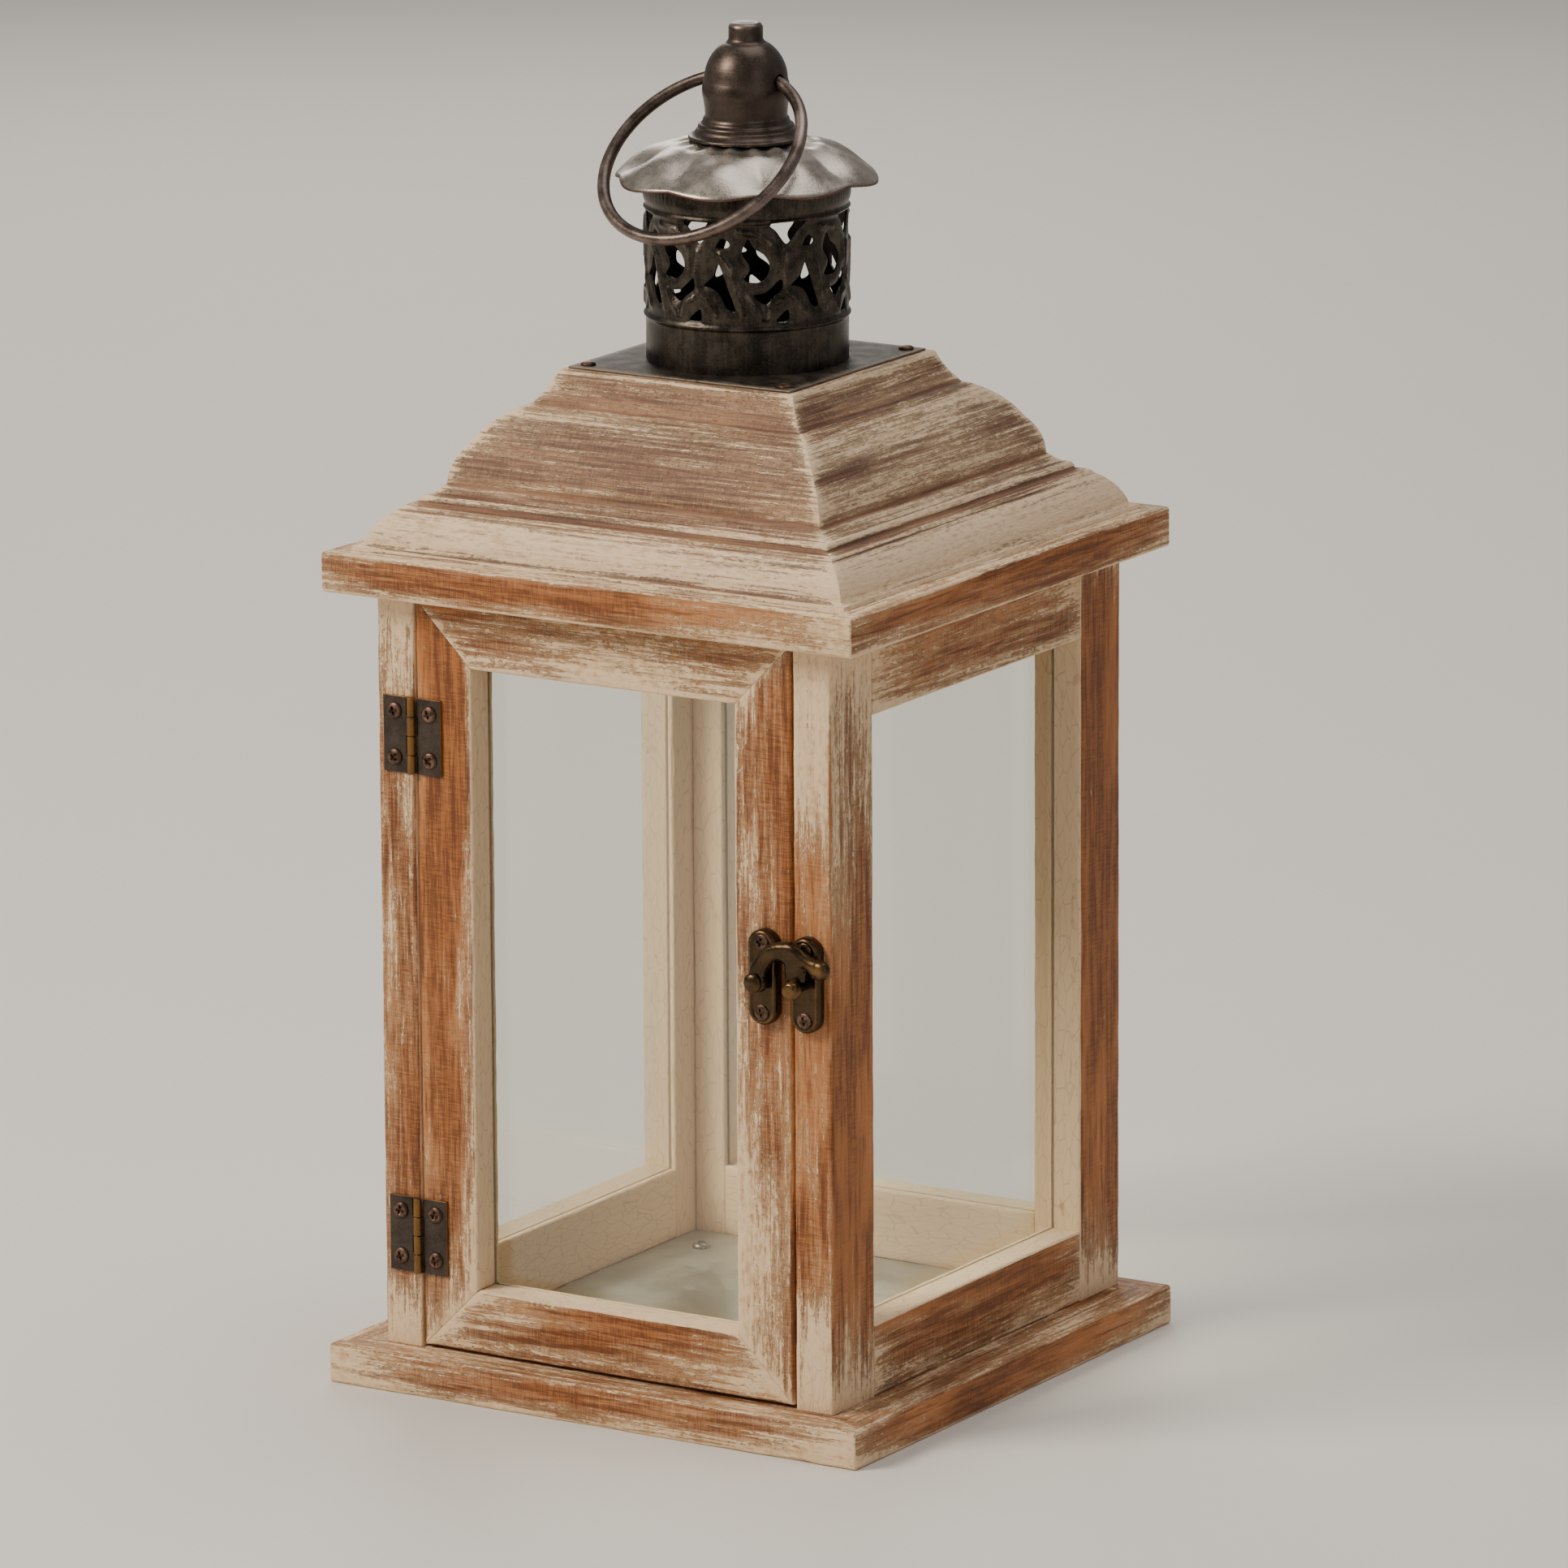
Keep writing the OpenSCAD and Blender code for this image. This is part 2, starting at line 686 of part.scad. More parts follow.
module floor_plate() {
    color("lightsteelblue") difference() {
        translate([-floor_x, floor_y0, z_floor]) cube([2 * floor_x, floor_y1 - floor_y0, floor_t]);
        at_floor_screws() shank_hole(FLOOR_SCREW, floor_t + CUT);
        translate([drain_hole[0], drain_hole[1], z_floor - CUT])
            cylinder(h = floor_t + 2 * CUT, d = drain_hole_d);
    }
}

// ---- Hinges: drawn with the pin's axis on z, the post's leaf towards -x and the wood at y = 0 ----

wood_y = front_y - pin_y;
knuckle_h = hinge_h / knuckles;

module at_hinges() { for (z = [hinge_low_z, hinge_high_z]) translate([pin_x, pin_y, z]) children(); }

// side is -1 for the screws in the post and 1 for those in the door
module at_hinge_screws(side) {
    at_hinges() for (z = [-1, 1])
        translate([side * hinge_screw_x, wood_y - leaf_t, z * hinge_screw_z]) rotate([90, 0, 0]) children();
}

// One leaf: first is 0 or 1, the lowest knuckle that belongs to it
module hinge_leaf(side, first, bore) {
    difference() {
        union() {
            translate([side < 0 ? -leaf_w : leaf_notch, wood_y - leaf_t, -hinge_h / 2])
                cube([leaf_w - leaf_notch, leaf_t, hinge_h]);
            for (k = [first:2:knuckles - 1])
                translate([0, 0, -hinge_h / 2 + k * knuckle_h + knuckle_gap / 2]) {
                    cylinder(h = knuckle_h - knuckle_gap, r = knuckle_r);
                    translate([side < 0 ? -leaf_notch - LAP : 0, wood_y - leaf_t, 0])
                        cube([leaf_notch + LAP, leaf_t, knuckle_h - knuckle_gap]);
                }
        }
        translate([0, 0, -hinge_h]) cylinder(h = 2 * hinge_h, d = bore);
        for (z = [-1, 1]) translate([side * hinge_screw_x, 0, z * hinge_screw_z])
            rotate([90, 0, 0])
                cylinder(h = 2 * (wood_y + CUT), d = HINGE_SCREW[1] + 2 * screw_gap, center = true);
    }
}

module hinge_pin() {
    translate([0, 0, -hinge_h / 2]) cylinder(h = hinge_h, d = pin_d);
}

module hinge_at(z) { translate([pin_x, pin_y, z]) children(); }

module hinge_low_frame_leaf() {
    color("darkolivegreen") hinge_at(hinge_low_z) hinge_leaf(-1, 1, pin_d);
}
module hinge_low_door_leaf() {
    color("darkolivegreen") hinge_at(hinge_low_z) hinge_leaf(1, 0, pin_d + 2 * pin_gap);
}
module hinge_low_pin() { color("darkgoldenrod") hinge_at(hinge_low_z) hinge_pin(); }
module hinge_high_frame_leaf() {
    color("darkolivegreen") hinge_at(hinge_high_z) hinge_leaf(-1, 1, pin_d);
}
module hinge_high_door_leaf() {
    color("darkolivegreen") hinge_at(hinge_high_z) hinge_leaf(1, 0, pin_d + 2 * pin_gap);
}
module hinge_high_pin() { color("darkgoldenrod") hinge_at(hinge_high_z) hinge_pin(); }
module hinge_screws_frame() { color("sienna") at_hinge_screws(-1) pan_screw(HINGE_SCREW); }
module hinge_screws_door() { color("sienna") at_hinge_screws(1) pan_screw(HINGE_SCREW); }

// ---- Latch: drawn facing up, with the wood at z = 0, then stood on the front of the lantern ----

module on_front(x, lift = 0) { translate([x, front_y, latch_z + lift]) rotate([90, 0, 0]) children(); }

module at_plate_screws() {
    on_front(latch_x, plate_lift) for (z = [-1, 1]) translate([0, z * latch_screw_z, latch_t]) children();
}

module at_keeper_screws() {
    on_front(keeper_x, keeper_lift) for (z = [-1, 1]) translate([0, z * latch_screw_z, latch_t]) children();
}

module latch_blank() {
    end = (latch_l - latch_w) / 2;
    union() {
        for (z = [-1, 1]) translate([0, z * end, 0]) cylinder(h = latch_t, d = latch_w);
        translate([-latch_w / 2, -end, 0]) cube([latch_w, 2 * end, latch_t]);
    }
}

module latch_plate() {
    color("darkgoldenrod") difference() {
        on_front(latch_x, plate_lift) latch_blank();
        at_plate_screws() flat_screw_hole(LATCH_SCREW);
        on_front(latch_x) translate([0, 0, -CUT]) cylinder(h = latch_t + 2 * CUT, d = rivet_d);
    }
}

module latch_rivet() {
    head = hook_front + pin_gap;
    color("goldenrod") on_front(latch_x) {
        cylinder(h = head, d = rivet_d);
        translate([0, 0, head]) domed_head(rivet_head_d, rivet_head_h);
    }
}

module latch_hook() {
    color("darkgoldenrod") on_front(latch_x) translate([0, 0, hook_back]) difference() {
        union() {
            linear_extrude(hook_t) polygon(outline(hook_outline));
            cylinder(h = hook_t, d = eye_d);
            translate(knob_at) cylinder(h = knob_t, d = knob_d);
        }
        translate([0, 0, -CUT]) cylinder(h = hook_t + 2 * CUT, d = rivet_d + 2 * pin_gap);
    }
}

module latch_keeper() {
    color("darkgoldenrod") difference() {
        union() {
            on_front(keeper_x, keeper_lift) latch_blank();
            on_front(keeper_x) rotate_extrude() polygon(outline(horn_outline));
        }
        at_keeper_screws() flat_screw_hole(LATCH_SCREW);
    }
}

module latch_screws_door() { color("sienna") at_plate_screws() flat_screw(LATCH_SCREW); }
module latch_screws_frame() { color("sienna") at_keeper_screws() flat_screw(LATCH_SCREW); }

base_board();
eave_board();
frame_screws_base();
frame_screws_eave();
left_stile_front();
left_stile_back();
left_rail_top();
left_rail_bottom();
left_glass();
right_stile_front();
right_stile_back();
right_rail_top();
right_rail_bottom();
right_glass();
back_stile_left();
back_stile_right();
back_rail_top();
back_rail_bottom();
back_glass();
door_stile_hinge();
door_stile_latch();
door_rail_top();
door_rail_bottom();
door_glass();
roof_front();
roof_right();
roof_back();
roof_left();
chimney_plate();
chimney_nails();
chimney_drum();
chimney_cap();
finial_bell();
finial_screw();
finial_washer();
hanging_ring();
floor_plate();
floor_screws();
hinge_low_frame_leaf();
hinge_low_door_leaf();
hinge_low_pin();
hinge_high_frame_leaf();
hinge_high_door_leaf();
hinge_high_pin();
hinge_screws_frame();
hinge_screws_door();
latch_plate();
latch_rivet();
latch_hook();
latch_keeper();
latch_screws_door();
latch_screws_frame();
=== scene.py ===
"""Looks for a hanging candle lantern: worn whitewashed timber, pressed metal and glass around its CAD frame.

Shapes are worked out in millimetres, in the CAD's frame, and scaled to metres as each mesh is made.
"""

import json
import math

import bmesh
import bpy
import numpy as np
from mathutils import Matrix, Vector, noise


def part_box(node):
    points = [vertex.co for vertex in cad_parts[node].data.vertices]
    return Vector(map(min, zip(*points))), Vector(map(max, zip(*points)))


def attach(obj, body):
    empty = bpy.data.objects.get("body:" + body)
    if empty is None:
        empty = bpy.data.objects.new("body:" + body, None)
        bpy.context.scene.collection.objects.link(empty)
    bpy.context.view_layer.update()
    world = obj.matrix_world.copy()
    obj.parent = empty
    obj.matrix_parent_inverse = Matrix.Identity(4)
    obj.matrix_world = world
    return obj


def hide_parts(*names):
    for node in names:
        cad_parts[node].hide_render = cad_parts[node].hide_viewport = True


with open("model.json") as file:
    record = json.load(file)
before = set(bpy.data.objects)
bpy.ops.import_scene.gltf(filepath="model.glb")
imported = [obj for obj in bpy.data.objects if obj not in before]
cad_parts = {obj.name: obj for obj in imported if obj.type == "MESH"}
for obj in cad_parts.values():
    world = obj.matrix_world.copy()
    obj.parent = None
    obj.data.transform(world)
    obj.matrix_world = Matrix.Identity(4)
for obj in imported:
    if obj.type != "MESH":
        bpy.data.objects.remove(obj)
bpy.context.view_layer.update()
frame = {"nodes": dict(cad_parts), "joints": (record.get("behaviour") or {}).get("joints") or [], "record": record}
MM = 0.001
X, Y, Z = np.eye(3)


def cad_box(node):
    """A CAD node's lowest and highest corners, in millimetres."""
    low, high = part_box(node)
    return np.array(low) / MM, np.array(high) / MM


def unit(angle):
    return math.cos(angle), math.sin(angle)


# ---- Camera, lights and floor ----

VIEW_AZIMUTH = math.radians(31.79)
VIEW_DROP = math.radians(13.12)
VIEW_ROLL = math.radians(-0.32)
VIEW_DISTANCE = 3.739
VIEW_ASIDE = 0.011
VIEW_HEIGHT = 0.1933
SENSOR = 36
LENS = 261.9


def add_camera():
    back = Vector((math.sin(VIEW_AZIMUTH) * math.cos(VIEW_DROP),
                   -math.cos(VIEW_AZIMUTH) * math.cos(VIEW_DROP),
                   math.sin(VIEW_DROP)))
    level = Vector((math.cos(VIEW_AZIMUTH), math.sin(VIEW_AZIMUTH), 0))
    across = math.cos(VIEW_ROLL) * level + math.sin(VIEW_ROLL) * back.cross(level)
    up = back.cross(across)
    target = level * VIEW_ASIDE + Vector((0, 0, VIEW_HEIGHT))
    data = bpy.data.cameras.new("camera")
    data.sensor_width = SENSOR
    data.lens = LENS
    camera = bpy.data.objects.new("camera", data)
    turn = Matrix((across, up, back)).transposed().to_4x4()
    camera.matrix_world = Matrix.Translation(target + back * VIEW_DISTANCE) @ turn
    bpy.context.scene.collection.objects.link(camera)
    bpy.context.scene.camera = camera


def add_light(name, place, aim, width, height, power, colour):
    data = bpy.data.lights.new(name, "AREA")
    data.shape = "RECTANGLE"
    data.size = width
    data.size_y = height
    data.energy = power
    data.color = colour
    light = bpy.data.objects.new(name, data)
    light.location = place
    light.rotation_euler = (Vector(aim) - Vector(place)).to_track_quat("-Z", "Y").to_euler()
    bpy.context.scene.collection.objects.link(light)


def add_stage():
    add_light("key", (-1.3, -1.7, 1.9), (0, 0, 0.22), 1.0, 1.0, 72, (1.0, 0.92, 0.80))
    add_light("fill", (2.3, -1.2, 1.1), (0, 0, 0.2), 1.4, 1.4, 5, (1.0, 0.97, 0.94))
    add_light("top", (0.2, 0.5, 2.4), (0, 0, 0.2), 1.6, 1.6, 24, (1.0, 0.98, 0.95))
    add_light("rim", (-1.5, 2.0, 1.3), (0, 0, 0.3), 0.9, 1.4, 16, (1.0, 0.96, 0.90))
    world = bpy.data.worlds.new("studio")
    world.use_nodes = True
    world.node_tree.nodes["Background"].inputs["Color"].default_value = (0.88, 0.85, 0.81, 1)
    world.node_tree.nodes["Background"].inputs["Strength"].default_value = 0.33
    bpy.context.scene.world = world
    mesh = bpy.data.meshes.new("floor")
    reach = 12.0
    mesh.from_pydata([(-reach, -reach, 0), (reach, -reach, 0), (reach, reach, 0), (-reach, reach, 0)], [],
                     [(0, 1, 2, 3)])
    floor = bpy.data.objects.new("floor", mesh)
    bpy.context.scene.collection.objects.link(floor)
    g = Graph("floor_paper")
    grain = g.noise(g.node("ShaderNodeTexCoord").outputs["Object"], 3, 4)
    tint = g.mix(grain, tone("d9d5ce"), tone("dedad4"))
    g.finish(tint, 0, 0.7)
    mesh.materials.append(g.material)


# ---- Shader words ----


def tone(code):
    """An sRGB hex code as a linear colour."""
    parts = [int(code[i:i + 2], 16) / 255 for i in (0, 2, 4)]
    return tuple(c / 12.92 if c <= 0.04045 else ((c + 0.055) / 1.055) ** 2.4 for c in parts) + (1,)


class Graph:
    """A material's node tree, with a short word for each kind of node used here."""

    def __init__(self, name):
        self.material = bpy.data.materials.new(name)
        self.material.use_nodes = True
        self.tree = self.material.node_tree
        self.tree.nodes.clear()

    def node(self, kind, **settings):
        node = self.tree.nodes.new(kind)
        for key, value in settings.items():
            setattr(node, key, value)
        return node

    def feed(self, node, **values):
        """Sets or links inputs. An underscore in a key is a space, and i0 or i1 is a place in the row."""
        for key, value in values.items():
            place = key[0] == "i" and key[1:].isdigit()
            socket = node.inputs[int(key[1:])] if place else node.inputs[key.replace("_", " ")]
            if isinstance(value, bpy.types.NodeSocket):
                self.tree.links.new(value, socket)
            else:
                socket.default_value = value
        return node

    def attribute(self, name, output="Fac"):
        return self.node("ShaderNodeAttribute", attribute_name=name).outputs[output]

    def millimetres(self):
        """The place in the object, in millimetres."""
        return self.stretch(self.node("ShaderNodeTexCoord").outputs["Object"], (1000, 1000, 1000))

    def math(self, operation, a, b=0.0):
        return self.feed(self.node("ShaderNodeMath", operation=operation), i0=a, i1=b).outputs[0]

    def times(self, a, b):
        return self.math("MULTIPLY", a, b)

    def total(self, start, *parts):
        """start plus each (value, weight) pair's product."""
        for value, weight in parts:
            start = self.math("ADD", start, self.times(value, weight))
        return start

    def sway(self, start, *parts):
        """start plus each (noise, weight) pair's product, with each noise counted from its middle."""
        return self.total(self.total(start, *parts), *((0.5, -weight) for _, weight in parts))

    def stretch(self, vector, scale):
        node = self.node("ShaderNodeVectorMath", operation="MULTIPLY")
        return self.feed(node, i0=vector, i1=scale).outputs[0]

    def noise(self, vector, scale, detail=3, roughness=0.55, distortion=0.0):
        node = self.node("ShaderNodeTexNoise")
        return self.feed(node, Vector=vector, Scale=scale, Detail=detail, Roughness=roughness,
                         Distortion=distortion).outputs["Fac"]

    def cells(self, vector, scale, feature="DISTANCE_TO_EDGE"):
        node = self.node("ShaderNodeTexVoronoi", feature=feature)
        return self.feed(node, Vector=vector, Scale=scale)

    def steps(self, value, low, high, out_low=0.0, out_high=1.0):
        node = self.node("ShaderNodeMapRange", interpolation_type="SMOOTHSTEP")
        return self.feed(node, Value=value, From_Min=low, From_Max=high, To_Min=out_low,
                         To_Max=out_high).outputs["Result"]

    def mix(self, factor, a, b):
        node = self.node("ShaderNodeMix", data_type="RGBA")
        return self.feed(node, i0=factor, i6=a, i7=b).outputs[2]

    def bump(self, height, distance):
        """A bump whose full height is distance millimetres."""
        node = self.node("ShaderNodeBump")
        return self.feed(node, Height=height, Strength=1.0, Distance=distance * MM).outputs["Normal"]

    def finish(self, colour, metallic, roughness, normal=None, **more):
        shader = self.node("ShaderNodeBsdfPrincipled")
        self.feed(shader, Base_Color=colour, Metallic=metallic, Roughness=roughness, **more)
        if normal is not None:
            self.feed(shader, Normal=normal)
        output = self.node("ShaderNodeOutputMaterial")
        self.tree.links.new(shader.outputs[0], output.inputs["Surface"])
        return self.material


# ---- Materials ----


def whitewash(name, dark, bare, warm, paint, shade, fineness=1.0):
    """Reddish timber under a worn whitewash: a thin streaky wash, and thicker flakes of paint on top of it.

    The grain attribute runs along the timber in millimetres, and the paint attribute says how much is left;
    below 0 the bare timber is darker, a painted shade for faces that lie in shadow. fineness makes the streaks
    narrower.
    """
    g = Graph(name)
    grain = g.stretch(g.attribute("grain", "Vector"), (1, fineness, fineness))
    left = g.attribute("paint")
    broad = g.noise(g.stretch(grain, (0.011, 0.06, 0.06)), 1, 3, 0.6)
    streak = g.noise(g.stretch(grain, (0.028, 0.5, 0.5)), 1, 5, 0.65, 0.3)
    fine = g.noise(g.stretch(grain, (0.07, 1.6, 1.6)), 1, 3, 0.6)
    fibre = g.noise(g.stretch(grain, (0.12, 3.0, 3.0)), 1, 3, 0.6)
    fleck = g.noise(g.stretch(grain, (0.5, 0.9, 0.9)), 1, 4, 0.7)
    weave = g.noise(g.stretch(grain, (2.6, 0.2, 0.2)), 1, 3, 0.6)
    lump = g.noise(g.stretch(grain, (0.3, 0.45, 0.45)), 1, 2, 0.5)
    wash = g.steps(g.sway(left, (broad, 1.5), (streak, 1.0), (weave, 0.4), (fibre, 0.4)), 0.2, 0.95, 0.0,
                   0.74)
    flakes = g.steps(g.sway(left, (broad, 1.2), (streak, 1.4), (fine, 1.2), (fleck, 1.2)), 0.58, 0.70, 0.0,
                     0.94)
    spots = g.times(g.steps(g.cells(g.stretch(grain, (0.07, 0.1, 0.1)), 1, "F1").outputs["Distance"], 0.05,
                            0.1, 1, 0),
                    g.steps(fleck, 0.52, 0.6, 0.0, 0.8))
    cover = g.math("MAXIMUM", g.math("MAXIMUM", wash, flakes), spots)
    ground = g.mix(g.steps(g.sway(0.5, (fibre, 0.5), (streak, 0.9), (weave, 0.5)), 0.34, 0.66), dark, bare)
    ground = g.mix(g.steps(broad, 0.46, 0.62, 0.0, 0.8), ground, warm)
    ground = g.mix(g.steps(g.sway(0.5, (fine, 1.0), (streak, 1.0)), 0.30, 0.42, 0.75, 0.0), ground, dark)
    # Levels below 0 darken the bare timber: painted shade for faces that lie in shadow.
    ground = g.mix(g.steps(left, -0.4, 0.1, 0.85, 0.0), ground, dark)
    coat = g.sway(g.total(0.2, (left, 0.35)), (streak, 0.8), (lump, 0.8), (fibre, 0.3))
    coat = g.mix(g.steps(coat, 0.25, 0.6), shade, paint)
    crack = g.steps(g.cells(g.stretch(grain, (0.1, 0.4, 0.4)), 1).outputs["Distance"], 0.0, 0.045, 1.0, 0.0)
    crack = g.times(crack, g.steps(g.sway(left, (lump, 0.8)), 0.85, 1.2, 0.0, 0.25))
    colour = g.mix(crack, g.mix(cover, ground, coat), dark)
    height = g.total(g.times(cover, 0.5), (flakes, 0.35), (g.times(lump, flakes), 0.7), (fibre, 0.2),
                     (streak, 0.3),
                     (fleck, 0.3), (crack, -0.6))
    return g.finish(colour, 0, g.steps(cover, 0, 1, 0.55, 0.8), g.bump(height, 0.34),
                    Specular_IOR_Level=0.35)


def patina(name, deep, face, rubbed, roughness=(0.34, 0.55), metallic=0.85, pits=0.06, rings=0.0, runs=0.0,
           mottle=1.0):
    """Aged metal: mottled from deep to face, and rubbed bright where the wear attribute says so. rings gives
    it turning marks, runs gives it streaks from top to bottom, and mottle is how far its tones part.
    Where the dull attribute is 1 it is rougher."""
    g = Graph(name)
    place = g.millimetres()
    cloud = g.noise(place, 0.16, 5, 0.6)
    speck = g.noise(place, 1.7, 3, 0.6)
    parts = [(cloud, mottle), (speck, 0.6 * mottle)]
    if runs:
        parts.append((g.noise(g.stretch(place, (0.75, 0.75, 0.05)), 1, 4, 0.6), runs))
    colour = g.mix(g.steps(g.sway(0.5, *parts), 0.3, 0.7), deep, face)
    colour = g.mix(g.steps(g.sway(g.attribute("wear"), *parts), 0.35, 0.85), colour, rubbed)
    height = g.total(g.times(speck, 0.8), (cloud, 1.0))
    if rings:
        height = g.total(height, (g.noise(g.stretch(place, (0.02, 0.02, 2.6)), 1, 2, 0.5), rings))
    rough = g.total(g.steps(g.sway(0.5, (cloud, 1.0), (speck, 0.5)), 0.3, 0.7, *roughness),
                    (g.attribute("dull"), 0.3))
    return g.finish(colour, metallic, rough, g.bump(height, pits))


def clear_glass():
    """Window glass with a faint bloom of dust. Lamps' rays pass straight through it."""
    g = Graph("pane_glass")
    place = g.node("ShaderNodeTexCoord").outputs["Object"]
    dust = g.noise(g.stretch(place, (14, 14, 5)), 1, 4, 0.6)
    shader = g.node("ShaderNodeBsdfPrincipled")
    g.feed(shader, Base_Color=g.mix(dust, tone("f3f6f2"), tone("fafbf8")), Roughness=0.015, IOR=1.46,
           Transmission_Weight=1.0)
    open_air = g.node("ShaderNodeBsdfTransparent")
    g.feed(open_air, Color=tone("f6f8f5"))
    swap = g.node("ShaderNodeMixShader")
    g.feed(swap, i0=g.node("ShaderNodeLightPath").outputs["Is Shadow Ray"], i1=shader.outputs[0],
           i2=open_air.outputs[0])
    output = g.node("ShaderNodeOutputMaterial")
    g.feed(output, Surface=swap.outputs[0])
    return g.material


def galvanised():
    """Zinc-coated sheet with its spangle of crystals."""
    g = Graph("galvanised")
    place = g.millimetres()
    split = g.node("ShaderNodeSeparateColor")
    g.feed(split, i0=g.cells(place, 0.16, "F1").outputs["Color"])
    spangle = split.outputs[0]
    cloud = g.noise(place, 0.05, 4, 0.6)
    colour = g.mix(g.total(g.times(spangle, 0.4), (cloud, 0.5)), tone("8f9084"), tone("c4c1b1"))
    return g.finish(colour, 0.6, g.steps(spangle, 0, 1, 0.34, 0.5),
                    g.bump(g.total(spangle, (cloud, 1.0)), 0.03))


WOOD = dict(dark=tone("693a1d"), bare=tone("a66735"), warm=tone("b9743f"), paint=tone("e9cda9"),
            shade=tone("c7a47d"))
ROOF = dict(dark=tone("5c4032"), bare=tone("8c6347"), warm=tone("9a6e4f"), paint=tone("e9cdab"),
            shade=tone("c5a684"),
            fineness=1.7)
MATERIALS = {
    "wood_base": whitewash("wood_base", **WOOD),
    "wood_eave": whitewash("wood_eave", **WOOD),
    "wood_frame": whitewash("wood_frame", **WOOD),
    "wood_door": whitewash("wood_door", **WOOD),
    "wood_roof": whitewash("wood_roof", **ROOF),
    "pane_glass": clear_glass(),
    "galvanised": galvanised(),
    "zinc_screw": patina("zinc_screw", tone("8a857c"), tone("b4b0a6"), tone("c9c5bb"), (0.25, 0.4), 0.95,
                         0.02),
    "chimney_metal": patina("chimney_metal", tone("27231f"), tone("4d463e"), tone("85786a"), (0.26, 0.4),
                            0.88, 0.08,
                            runs=0.4, mottle=0.8),
    "nail_brown": patina("nail_brown", tone("3a2a1e"), tone("654b36"), tone("8f6f50"), (0.4, 0.55), 0.7,
                         0.04),
    "cap_metal": patina("cap_metal", tone("8d857c"), tone("b6ada3"), tone("6b4438"), (0.26, 0.38), 0.88,
                        0.1,
                        mottle=0.7),
    "finial_metal": patina("finial_metal", tone("38302b"), tone("574a43"), tone("857670"), (0.3, 0.44),
                           0.85, 0.04, rings=0.6,
                           mottle=0.5),
    "hinge_metal": patina("hinge_metal", tone("2e2823"), tone("524740"), tone("86602f"), (0.32, 0.46), 0.75,
                          0.02,
                          mottle=0.6),
    "hinge_brass": patina("hinge_brass", tone("5c4223"), tone("7d5c30"), tone("a37c45"), (0.28, 0.42), 0.85,
                          0.02),
    "screw_brown": patina("screw_brown", tone("35261e"), tone("5c4436"), tone("8a6e5c"), (0.3, 0.44), 0.75,
                          0.02),
    "latch_brass": patina("latch_brass", tone("33271c"), tone("51402c"), tone("80603a"), (0.24, 0.36), 0.9,
                          0.015,
                          mottle=0.5),
}


# ---- Mesh words ----


def make(name, verts, faces, slot, body, nodes, smooth=40, point=(), grain=None):
    """A piece from vertices in millimetres. point holds (name, values) pairs of vertex attributes, and grain
    is not used."""
    mesh = bpy.data.meshes.new(name)
    mesh.from_pydata((np.asarray(verts, float) * MM).tolist(), [],
                     [tuple(int(i) for i in f) for f in faces])
    for key, values in point:
        mesh.attributes.new(key, "FLOAT", "POINT").data.foreach_set("value", np.asarray(values, np.float32))
    bm = bmesh.new()
    bm.from_mesh(mesh)
    bmesh.ops.recalc_face_normals(bm, faces=bm.faces)
    bm.to_mesh(mesh)
    bm.free()
    mesh.shade_smooth()
    mesh.set_sharp_from_angle(angle=math.radians(smooth))
    mesh.materials.append(MATERIALS[slot])
    piece = bpy.data.objects.new(name, mesh)
    bpy.context.scene.collection.objects.link(piece)
    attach(piece, body)
    if nodes:
        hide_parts(*nodes)
    return piece


def write_wear(piece, value):
    """Sets the wear attribute from a function of a vertex's place, in millimetres."""
    mesh = piece.data
    layer = mesh.attributes.get("wear") or mesh.attributes.new("wear", "FLOAT", "POINT")
    layer.data.foreach_set("value", [value(v.co / MM) for v in mesh.vertices])


def bake_modifier(piece, kind, **settings):
    modifier = piece.modifiers.new(kind, kind)
    for key, value in settings.items():
        setattr(modifier, key, value)
    graph = bpy.context.evaluated_depsgraph_get()
    mesh = bpy.data.meshes.new_from_object(piece.evaluated_get(graph))
    piece.modifiers.clear()
    old = piece.data
    piece.data = mesh
    bpy.data.meshes.remove(old)


def scrap(name, verts, faces):
    """A loose mesh object that only serves to build or cut a piece."""
    mesh = bpy.data.meshes.new(name)
    mesh.from_pydata((np.asarray(verts, float) * MM).tolist(), [],
                     [tuple(int(i) for i in f) for f in faces])
    bm = bmesh.new()
    bm.from_mesh(mesh)
    bmesh.ops.recalc_face_normals(bm, faces=bm.faces)
    bm.to_mesh(mesh)
    bm.free()
    thing = bpy.data.objects.new(name, mesh)
    bpy.context.scene.collection.objects.link(thing)
    return thing


def cut(piece, verts, faces):
    """Takes a closed shape away from a piece."""
    cutter = scrap("cutter", verts, faces)
    bpy.context.view_layer.update()
    bake_modifier(piece, "BOOLEAN", operation="DIFFERENCE", object=cutter, solver="EXACT")
    mesh = cutter.data
    bpy.data.objects.remove(cutter)
    bpy.data.meshes.remove(mesh)


def join_shapes(shapes):
    """Vertices and faces of several (verts, faces) shapes as one."""
    verts, faces, start = [], [], 0
    for v, f in shapes:
        verts.append(np.asarray(v, float))
        faces.extend([tuple(i + start for i in face) for face in f])
        start += len(v)
    return np.concatenate(verts), faces


def placed(shape, turn=np.eye(3), at=(0, 0, 0)):
    """A shape turned by a 3 by 3 matrix whose columns are its axes' directions, then moved."""
    return np.asarray(shape[0]) @ np.asarray(turn).T + np.asarray(at), shape[1]


def turned(angle, axis="Z"):
    return np.array(Matrix.Rotation(math.radians(angle), 3, axis))


